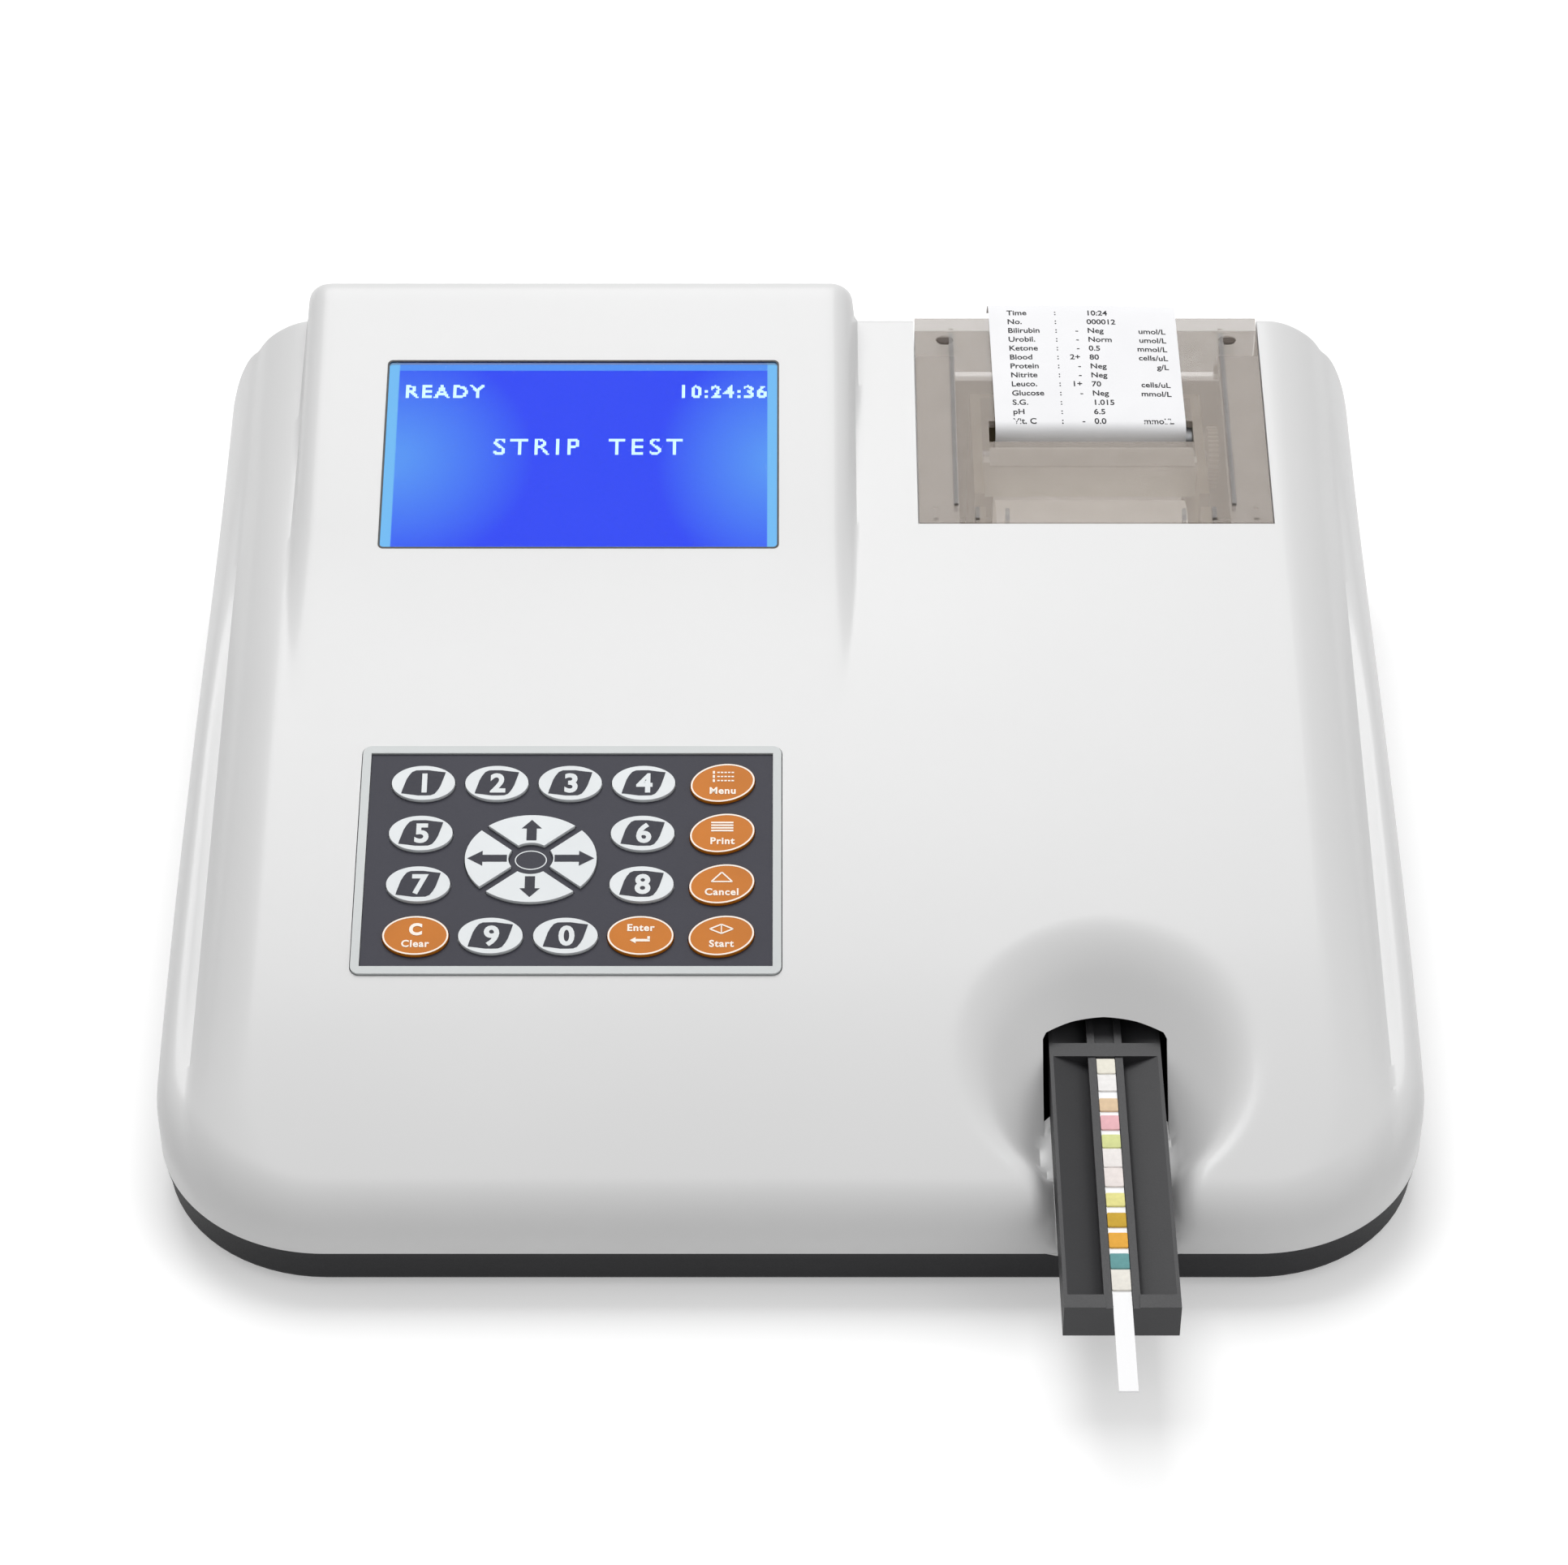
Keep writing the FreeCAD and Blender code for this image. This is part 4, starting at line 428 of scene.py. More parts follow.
class Mesh:
    """Makes objects from points, outlines and words."""

    @staticmethod
    def object(name: str, points: list, faces: list, *finishes: bpy.types.Material,
               matrix: Matrix | None = None) -> bpy.types.Object:
        """Make an object from points and faces.

        Args:
            name: The object's name.
            points: Its vertices.
            faces: Lists of vertex numbers.
            *finishes: Its materials.
            matrix: Where the points are put, in metres.

        Returns:
            The new object, at the origin.
        """
        mesh = bpy.data.meshes.new(name)
        mesh.from_pydata([tuple(point) for point in points], [], faces)
        if matrix is not None:
            mesh.transform(matrix)
        for finish in finishes:
            mesh.materials.append(finish)
        mesh.validate()
        return added(name, mesh)

    @staticmethod
    def skin(rings: list[list], closed: bool = False) -> tuple[list, list]:
        """Points and faces of a skin through rings of as many points each.

        Args:
            rings: The rings, each turning left as seen from the last one.
            closed: Whether the skin runs on from the last ring to the first. If it doesn't,
                both are capped.

        Returns:
            The points, and the faces as lists of their numbers.
        """
        points = [point for ring in rings for point in ring]
        count, last = len(rings[0]), len(rings) - 1
        faces = [] if closed else [list(range(count))[::-1]]
        for level in range(last + closed):
            low, high = level * count, (level + 1) % len(rings) * count
            for number in range(count):
                after = (number + 1) % count
                faces.append([low + number, low + after, high + after, high + number])
        if not closed:
            faces.append(list(range(last * count, len(points))))
        return points, faces

    @staticmethod
    def stack(outlines: list[tuple[list[Point], float]]) -> tuple[list, list]:
        """Points and faces of a solid that runs through level outlines, from low to high."""
        return Mesh.skin([[(x, y, z) for x, y in outline] for outline, z in outlines])

    @staticmethod
    def extend(points: list, faces: list, corners: list, sides: list) -> None:
        """Add one more solid to a list of points and a list of faces."""
        shift = len(points)
        points += corners
        faces += [[number + shift for number in side] for side in sides]

    @staticmethod
    def loose(points: list, faces: list) -> bpy.types.Mesh:
        """A mesh without an object, to be gathered with others."""
        mesh = bpy.data.meshes.new("loose")
        mesh.from_pydata([tuple(point) for point in points], [], faces)
        mesh.validate()
        return mesh

    @staticmethod
    def band(name: str, outer: list[Point], inner: list[Point], levels: Point,
             finish: bpy.types.Material, matrix: Matrix) -> bpy.types.Object:
        """A flat ring between two outlines of as many points, from a low to a high level."""
        low, high = levels
        rings = [[(x, y, z) for x, y in line]
                 for line, z in ((outer, low), (outer, high), (inner, high), (inner, low))]
        return Mesh.object(name, *Mesh.skin(rings, closed=True), finish, matrix=matrix)

    @staticmethod
    def words(text: str, height: float, bold: float = 0.0, spacing: float = 1.0,
              align: str = "CENTER", thick: float = 0.02) -> bpy.types.Mesh:
        """A mesh of printed words in millimetres, standing on the line Y 0.

        Args:
            text: The words.
            height: The height of a capital letter.
            bold: How far each stroke is widened.
            spacing: The spacing of letters as a share of the usual.
            align: LEFT, CENTER or RIGHT.
            thick: How thick the print is.

        Returns:
            The mesh, from Z 0 to its thickness.
        """
        curve = bpy.data.curves.new("words", "FONT")
        curve.body = text
        curve.size = height / 0.73
        curve.offset = bold
        curve.space_character = spacing
        curve.align_x = align
        curve.extrude = thick / 2
        curve.resolution_u = 4
        item = added("words", curve)
        bpy.context.view_layer.update()
        mesh = bpy.data.meshes.new_from_object(item)
        mesh.transform(Matrix.Translation((0, 0, thick / 2)))
        bpy.data.objects.remove(item)
        bpy.data.curves.remove(curve)
        return mesh

    @staticmethod
    def gather(name: str, meshes: list[bpy.types.Mesh], *finishes: bpy.types.Material,
               matrix: Matrix | None = None) -> bpy.types.Object:
        """One object out of several meshes, which are used up."""
        whole = bmesh.new()
        for mesh in meshes:
            whole.from_mesh(mesh)
            bpy.data.meshes.remove(mesh)
        joined = bpy.data.meshes.new(name)
        whole.to_mesh(joined)
        whole.free()
        if matrix is not None:
            joined.transform(matrix)
        joined.materials.clear()
        for finish in finishes:
            joined.materials.append(finish)
        return added(name, joined)

    @staticmethod
    def settle(item: bpy.types.Object) -> bpy.types.Object:
        """Apply an object's modifiers to its mesh."""
        bpy.context.view_layer.update()
        shown = item.evaluated_get(bpy.context.evaluated_depsgraph_get())
        mesh = bpy.data.meshes.new_from_object(shown)
        old = item.data
        item.modifiers.clear()
        item.data = mesh
        bpy.data.meshes.remove(old)
        return item

    @staticmethod
    def smooth(item: bpy.types.Object, angle: float = 38.0) -> bpy.types.Object:
        """Shade an object smoothly, with its edges sharp past an angle."""
        item.data.shade_smooth()
        item.data.set_sharp_from_angle(angle=math.radians(angle))
        return item


class Outline:
    """Flat outlines in millimetres, all turning left."""

    @staticmethod
    def oval(length: float, breadth: float, count: int = 72, turn: float = 0.0,
             middle: Point = (0.0, 0.0)) -> list[Point]:
        """An ellipse, turned by degrees."""
        lean = math.radians(turn)
        points = []
        for number in range(count):
            angle = 2 * math.pi * number / count
            x, y = length / 2 * math.cos(angle), breadth / 2 * math.sin(angle)
            points.append((middle[0] + x * math.cos(lean) - y * math.sin(lean),
                           middle[1] + x * math.sin(lean) + y * math.cos(lean)))
        return points

    @staticmethod
    def rounded(width: float, length: float, radius: float, middle: Point = (0.0, 0.0),
                steps: int = 6) -> list[Point]:
        """A rectangle with round corners."""
        points = []
        for turn, (side_x, side_y) in enumerate(((1, 1), (-1, 1), (-1, -1), (1, -1))):
            for step in range(steps + 1):
                angle = math.pi / 2 * (turn + step / steps)
                points.append((middle[0] + side_x * (width / 2 - radius) + radius * math.cos(angle),
                               middle[1] + side_y * (length / 2 - radius) + radius * math.sin(angle)))
        return points

    @staticmethod
    def leaf(length: float, breadth: float) -> list[Point]:
        """The dark leaf in a number key's oval: two tips, and the same curve to each.

        Args:
            length: The oval's length.
            breadth: The oval's breadth.

        Returns:
            The outline, with the lower edge first.
        """
        shares = ((-0.69, -0.62), (-0.40, -0.68), (-0.15, -0.74), (0.05, -0.74), (0.25, -0.73),
                  (0.37, -0.64), (0.47, -0.42), (0.55, -0.16), (0.61, 0.16), (0.66, 0.42))
        half = [(share_x * length / 2, share_y * breadth / 2) for share_x, share_y in shares]
        return half + [(-x, -y) for x, y in half]

    @staticmethod
    def arrow(length: float, head: float, wide: float, stem: float) -> list[Point]:
        """An arrow that points along +Y from the origin."""
        return [(-stem / 2, 0), (stem / 2, 0), (stem / 2, length - head), (wide / 2, length - head),
                (0, length), (-wide / 2, length - head), (-stem / 2, length - head)]

    @staticmethod
    def turned(outline: list[Point], degrees: float) -> list[Point]:
        """An outline turned about the origin."""
        lean = math.radians(degrees)
        return [(x * math.cos(lean) - y * math.sin(lean), x * math.sin(lean) + y * math.cos(lean))
                for x, y in outline]

    @staticmethod
    def moved(outline: list[Point], shift: Point) -> list[Point]:
        """An outline moved by a shift."""
        return [(x + shift[0], y + shift[1]) for x, y in outline]


@dataclass(frozen=True)
class Arc:
    """A long arc in the side view that runs on straight past its end, in millimetres.

    It starts at the front edge, and the reach says how far behind the front it ends.
    """

    front: float
    rear: float
    radius: float
    reach: float = DEPTH

    def height(self, back: np.ndarray | float) -> np.ndarray | float:
        """How high the line is at distances behind the front."""
        rise = self.rear - self.front
        chord = math.hypot(self.reach, rise)
        deep = math.sqrt(self.radius ** 2 - chord ** 2 / 4)
        middle = self.reach / 2 + rise / chord * deep
        bottom = (self.front + self.rear) / 2 - self.reach / chord * deep
        bent = np.minimum(back, self.reach)
        steep = (middle - self.reach) / (self.rear - bottom)
        return bottom + np.sqrt(self.radius ** 2 - (bent - middle) ** 2) + (back - bent) * steep


def upper_of(first: np.ndarray, second: np.ndarray, soft: float | np.ndarray) -> np.ndarray:
    """The higher of two height fields, blended over a soft range."""
    near = np.clip(1 - np.abs(first - second) / soft, 0, None)
    return np.maximum(first, second) + near ** 2 * soft / 4


def lower_of(first: np.ndarray, second: np.ndarray, soft: float | np.ndarray) -> np.ndarray:
    """The lower of two height fields, blended over a soft range."""
    return -upper_of(-first, -second, soft)


def eased(value: np.ndarray, low: float, high: float) -> np.ndarray:
    """A smooth step from 0 at the low value to 1 at the high one."""
    ratio = np.clip((value - low) / (high - low), 0, 1)
    return ratio ** 3 * (ratio * (ratio * 6 - 15) + 10)


@dataclass(frozen=True)
class Window:
    """The display window's size and place on the hood's face, in millimetres."""

    width: float = 117.0
    length: float = 69.0
    start: float = 32.5
    corner: float = 1.6

    @property
    def middle(self) -> Point:
        """The window's middle on the face."""
        return 0.0, self.start + self.length / 2


WINDOW = Window()


@dataclass
class Housing:
    """The upper housing's moulded shell. All sizes are in millimetres."""

    workshop: Workshop
    deck: Arc = Arc(27.5, 76.0, 1066.0, 200.0)
    flange: Arc = Arc(27.0, 82.0, 5000.0)
    front_corner: float = 48.0
    rear_corner: float = 12.0
    deck_half: float = 163.0
    deck_corner: float = 54.0
    deck_lead: float = 16.0
    deck_ramp: float = 18.0
    groove_half: float = 6.5
    groove_depth: float = 1.7
    groove_run: tuple[float, float] = (6.0, 90.0)
    groove_end: tuple[float, float] = (300.0, 236.0)
    hood_sides: tuple[float, float] = (-146.0, 19.0)
    hood_front: float = 184.0
    hood_height: float = 73.0
    hood_slope: float = 15.2
    hood_middle: float = -61.8
    hood_round: float = 7.0
    hood_draft: float = 9.0
    hood_soft: float = 4.0
    nose_round: float = 12.0
    nose_run: tuple[float, float] = (60.0, 8.0)
    side_round: float = 7.0
    shoulder_round: float = 14.0
    shoulder_run: tuple[float, float] = (140.0, 300.0)
    rear_fall: float = 28.0
    fall_start: float = 40.0
    fall_share: float = 0.8
    rear_round: float = 1.6
    dish_middle: float = 86.0
    floor_radius: float = 18.5
    floor_back: float = 30.0
    floor_height: float = 20.5
    dish_radius: float = 41.0
    dish_back: float = 48.0
    dish_height: float = 47.0
    dish_tilt: float = 17.8
    dish_limit: float = 1.5
    dish_soft: float = 6.0
    channel_half: float = 15.5
    bank_slope: float = 1.9
    bank_end_slope: float = 3.0
    bank_soft: float = 5.0
    floor_soft: float = 0.05
    pocket_size: Point = (118.5, 76.5)
    pocket_corner: float = 2.7
    pocket_middle: float = 38.0
    pocket_cut: float = 9.0
    window_cut: float = 14.0
    cut_rise: float = 12.0
    bay_past: float = 9.0
    bay_top: float = 130.0
    mouth: tuple[Point, ...] = ((17.0, 20.8), (17.0, 35.3), (16.1, 36.2), (9.0, 36.8), (0.0, 37.1))
    mouth_run: tuple[float, float] = (30.0, 74.0)
    port_half: float = 8.5
    port_flange: float = 1.95
    socket_run: tuple[float, float] = (4.0, 8.0)
    wall: float = 2.4
    pan_rise: float = 2.3
    pan_overlap: float = 0.05
    pan_inset: tuple[float, float] = (0.35, 2.6)
    steps: tuple[int, int] = (196, 172)
    inner_steps: tuple[int, int] = (110, 96)

    def distance(self, x: np.ndarray, back: np.ndarray, half: float, corner: float,
                 lead: float = 0.0) -> np.ndarray:
        """How far points lie inside a plan.

        Args:
            x: Places across.
            back: Places behind the front.
            half: Half the plan's width.
            corner: The radius of its front corners.
            lead: How far it stands out past the housing's front and rear.

        Returns:
            The distances to its edge, below zero outside.
        """
        radius = np.where(back < DEPTH / 2, corner, self.rear_corner)
        over_x = np.abs(x) - (half - radius)
        over_y = np.abs(back - DEPTH / 2) - (DEPTH / 2 + lead - radius)
        outside = np.hypot(np.maximum(over_x, 0), np.maximum(over_y, 0))
        return radius - outside - np.minimum(np.maximum(over_x, over_y), 0)

    def dish(self, x: np.ndarray, back: np.ndarray) -> np.ndarray:
        """The round hollow before the mouth, joined by the channel that leads out of it."""
        side = x - self.dish_middle
        ahead = back - self.floor_back
        run = self.dish_back - self.floor_back
        grow = self.dish_radius - self.floor_radius
        square = grow ** 2 - run ** 2
        slant = 2 * (self.floor_radius * grow + run * ahead)
        rest = self.floor_radius ** 2 - side ** 2 - ahead ** 2
        ratio = (-slant + np.sqrt(np.maximum(slant ** 2 - 4 * square * rest, 0))) / (2 * square)
        ratio = np.maximum(ratio, 0)
        near = np.minimum(ratio, self.dish_limit)
        scale = np.where(ratio > near, near / np.maximum(ratio, 1e-6), 1)
        lean = math.tan(math.radians(self.dish_tilt))
        tilted = near * (ahead * scale - run * near) * lean
        rise = self.dish_height - self.floor_height
        bowl = self.floor_height + rise * ratio + tilted
        bank = self.floor_height + self.bank_slope * np.maximum(np.abs(side) - self.channel_half, 0)
        bank = bank + np.maximum(back - self.floor_back, 0) * self.bank_end_slope
        over_floor = np.minimum(bowl, bank) - self.floor_height
        return lower_of(bowl, bank, np.clip(over_floor, self.floor_soft, self.bank_soft))

    def surface(self, x: np.ndarray, back: np.ndarray) -> np.ndarray:
        """The height of the outer surface over places in the plan."""
        inside = np.where(back < DEPTH / 2, self.distance(x, back, HALF_WIDTH, self.front_corner),
                          HALF_WIDTH - np.abs(x))
        on_deck = self.distance(x, back, self.deck_half, self.deck_corner, self.deck_lead)
        bell = np.clip(1 - np.abs(on_deck) / self.groove_half, 0, 1)
        bell = bell ** 2 * (3 - 2 * bell)
        groove = self.groove_depth * bell * eased(back, *self.groove_run) * eased(
            back, *self.groove_end)
        low = self.flange.height(back)
        share = np.clip(on_deck / self.deck_ramp, 0, 1)
        height = low + (self.deck.height(back) - low) * (1 - (1 - share) ** 2) - groove
        height = upper_of(height, self.hood(x, back), self.hood_soft)
        height = lower_of(height, self.dish(x, back), self.dish_soft)
        at_front = eased(back, *self.nose_run)
        radius = self.side_round + (self.nose_round - self.side_round) * at_front
        radius = radius + (self.shoulder_round - radius) * eased(back, *self.shoulder_run)
        lower = (self.rear_fall - self.side_round) * eased(back, self.fall_start, DEPTH)
        fall = np.maximum(self.side_round + lower, radius)
        fall = np.minimum(fall, (height - SEAM) * self.fall_share)
        short = np.clip(1 - inside / radius, 0, 1)
        height = height - fall * (1 - np.sqrt(1 - short ** 2))
        short = np.clip(1 - (DEPTH - back) / self.rear_round, 0, 1)
        return height - self.rear_round * (1 - np.sqrt(1 - short ** 2))

    def hood(self, x: np.ndarray, back: np.ndarray) -> np.ndarray:
        """The height of the display hood, whose sides drop almost upright under a round edge."""
        rise = math.tan(math.radians(self.hood_slope))
        top = self.hood_height + (back - self.hood_front) * rise
        side = np.minimum(x - self.hood_sides[0], self.hood_sides[1] - x)
        short = np.clip(1 - side / self.hood_round, 0, 1)
        top = top - self.hood_round * (1 - np.sqrt(1 - short ** 2))
        at_rear = np.clip(1 - (DEPTH - back) / self.hood_round, 0, 1)
        top = top - self.hood_round / 2 * (1 - np.sqrt(1 - at_rear ** 2))
        return top - self.hood_draft * np.maximum(-side, 0)

    @staticmethod
    def spread(marks: list[tuple[float, float, float]], low: float, high: float,
               count: int) -> np.ndarray:
        """Places along a line, closer together near marks.

        Args:
            marks: A place, how wide its neighbourhood is, and how much denser it gets.
            low: The first place.
            high: The last place.
            count: How many steps there are.

        Returns:
            The places, one more than the steps.
        """
        fine = np.linspace(low, high, 6000)
        density = np.ones_like(fine)
        for place, reach, gain in marks:
            density += gain * np.exp(-((fine - place) / reach) ** 2)
        total = np.concatenate(([0], np.cumsum((density[1:] + density[:-1]) / 2)))
        return np.interp(np.linspace(0, total[-1], count + 1), total, fine)

    def plan(self, steps: tuple[int, int], inset: float) -> tuple[np.ndarray, np.ndarray]:
        """A grid over the plan whose border follows the round corners.

        Args:
            steps: How many steps there are across and along.
            inset: How far the grid's border lies inside the plan's own.

        Returns:
            The grid's places across, and its places behind the front.
        """
        half, far = HALF_WIDTH - inset, DEPTH - inset
        hood_left, hood_right = self.hood_sides
        across = self.spread([(-half, 2, 7), (half, 2, 7), (-half, 20, 1.6), (half, 20, 1.6),
                              (hood_left + 2, 3, 5.0), (hood_right - 2, 3, 5.0),
                              (self.dish_middle, 34, 0.9)], -half, half, steps[0])
        along = self.spread([(inset, 3, 7), (inset, 14, 1.5), (far, 3, 6),
                             (self.dish_back, 34, 1.2)], inset, far, steps[1])
        x, back = np.meshgrid(across, along)
        for corner, at_front in ((self.front_corner, True), (self.rear_corner, False)):
            corner -= inset
            run = np.abs(x) - (half - corner)
            rise = inset + corner - back if at_front else back - (far - corner)
            both = (run > 0) & (rise > 0)
            one, two = run / corner, rise / corner
            bent_x = half - corner + corner * one * np.sqrt(np.maximum(1 - two ** 2 / 2, 0))
            bent_y = corner * two * np.sqrt(np.maximum(1 - one ** 2 / 2, 0))
            bent_y = inset + corner - bent_y if at_front else far - corner + bent_y
            x = np.where(both, np.sign(x) * bent_x, x)
            back = np.where(both, bent_y, back)
        return x, back

    def block(self, name: str, steps: tuple[int, int], inset: float,
              bottom: float) -> bpy.types.Object:
        """The solid under the surface, with upright sides.

        Args:
            name: The object's name.
            steps: How many steps its grid has across and along.
            inset: How far it lies inside the outer form, at its sides and under its top.
            bottom: The level of its lower face.

        Returns:
            The closed solid.
        """
        x, back = self.plan(steps, inset)
        height = self.surface(x, back) - inset
        rows, columns = x.shape
        points = np.stack([x, back, height], -1).reshape(-1, 3).tolist()
        faces = []
        for row in range(rows - 1):
            for column in range(columns - 1):
                start = row * columns + column
                above = start + columns
                faces += [[start, start + 1, above + 1], [start, above + 1, above]]
        rim = list(range(columns)) + [row * columns + columns - 1 for row in range(1, rows)]
        rim += [(rows - 1) * columns + column for column in range(columns - 2, -1, -1)]
        rim += [row * columns for row in range(rows - 2, 0, -1)]
        above = rim
        for level in (0.5, 1.0):
            below = []
            for number in rim:
                px, py, pz = points[number]
                below.append(len(points))
                points.append([px, py, pz + (bottom - pz) * level])
            count = len(rim)
            for number in range(count):
                after = (number + 1) % count
                faces.append([above[number], below[number], below[after], above[after]])
            above = below
        faces.append(above[::-1])
        return Mesh.object(name, points, faces, self.workshop.give("housing_white"))

    def pan_rim(self) -> None:
        """The dark lip of the pan, which shows as a line all round under the shell."""
        levels = (SEAM - self.pan_overlap, SEAM + self.pan_rise)
        rings = []
        for inset, order in zip(self.pan_inset, (1, -1)):
            x, back = self.plan(self.inner_steps, inset)
            border = np.concatenate([np.stack([x, back], -1)[line] for line in (
                (0, slice(0, -1)), (slice(0, -1), -1), (-1, slice(-1, 0, -1)),
                (slice(-1, 0, -1), 0))])
            rings += [[(px, py, z) for px, py in border] for z in levels[::order]]
        rim = Mesh.object("pan_lip", *Mesh.skin(rings, closed=True),
                          self.workshop.give("pan_dark"), matrix=FROM_FRONT)
        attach(rim, "housing")

    def cutters(self, keypad: Slope, hood: Slope, bay: "Printer") -> bpy.types.Object:
        """Every opening of the shell as one set of separate blocks, in millimetres."""
        upright = FROM_FRONT @ Matrix.Rotation(math.radians(90), 4, "X")
        local = FROM_FRONT.inverted()
        window = Outline.rounded(WINDOW.width, WINDOW.length, WINDOW.corner, WINDOW.middle)
        pocket = Outline.rounded(*self.pocket_size, self.pocket_corner, (0.0, self.pocket_middle))
        blocks = [(window, -self.window_cut, self.cut_rise, hood.matrix),
                  (pocket, -self.pocket_cut, self.cut_rise, keypad.matrix)]
        left, right, near = bay.left - bay.gap, bay.right + bay.gap, bay.near - bay.gap
        far = DEPTH + self.bay_past
        area = [(left, near), (right, near), (right, far), (left, far)]
        blocks.append((area, bay.sill, self.bay_top, FROM_FRONT))
        mirrored = [(-x, z) for x, z in self.mouth[-2::-1]]
        arch = [mirrored[-1], *self.mouth, *mirrored[:-1]]
        arch = [(x + self.dish_middle, z) for x, z in arch]
        blocks.append((arch, -self.mouth_run[1], -self.mouth_run[0], upright))
        for node, play in (("power_inlet", 0.0), ("rocker_case", 0.0), ("data_port", 0.3)):
            low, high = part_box(node)
            x0, x1, z0, z1 = (value / MM for value in (low.x, high.x, low.z, high.z))
            if node == "data_port":
                middle = (x0 + x1) / 2
                x0, x1 = middle - self.port_half - play, middle + self.port_half + play
                z0, z1 = z0 + self.port_flange - play, z1 - self.port_flange + play
            socket = [(x0, z0), (x1, z0), (x1, z1), (x0, z1)]
            blocks.append((socket, -DEPTH - self.socket_run[0], -DEPTH + self.socket_run[1], upright))
        points, faces = [], []
        for outline, low, high, matrix in blocks:
            corners, sides = Mesh.stack([(outline, low), (outline, high)])
            Mesh.extend(points, faces, [local @ matrix @ Vector(corner) for corner in corners], sides)
        return Mesh.object("openings", points, faces)

    def build(self, keypad: Slope, hood: Slope, bay: "Printer") -> bpy.types.Object:
        """Make the shell, hollow it out and open it.

        Args:
            keypad: The face that the keypad lies on.
            hood: The face that the display window lies on.
            bay: The printer, whose bay is cut open.

        Returns:
            The finished shell.
        """
        shell = self.block("housing_shell", self.steps, 0.0, SEAM + self.pan_rise)
        self.pan_rim()
        for tool in (self.block("cavity", self.inner_steps, self.wall, SEAM - self.wall),
                     self.cutters(keypad, hood, bay)):
            opening = shell.modifiers.new(tool.name, "BOOLEAN")
            opening.operation = "DIFFERENCE"
            opening.solver = "MANIFOLD"
            opening.object = tool
            Mesh.settle(shell)
            bpy.data.objects.remove(tool)
        shell.data.transform(FROM_FRONT)
        Mesh.smooth(shell, 34.0)
        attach(shell, "housing")
        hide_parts("top_cover")
        return shell


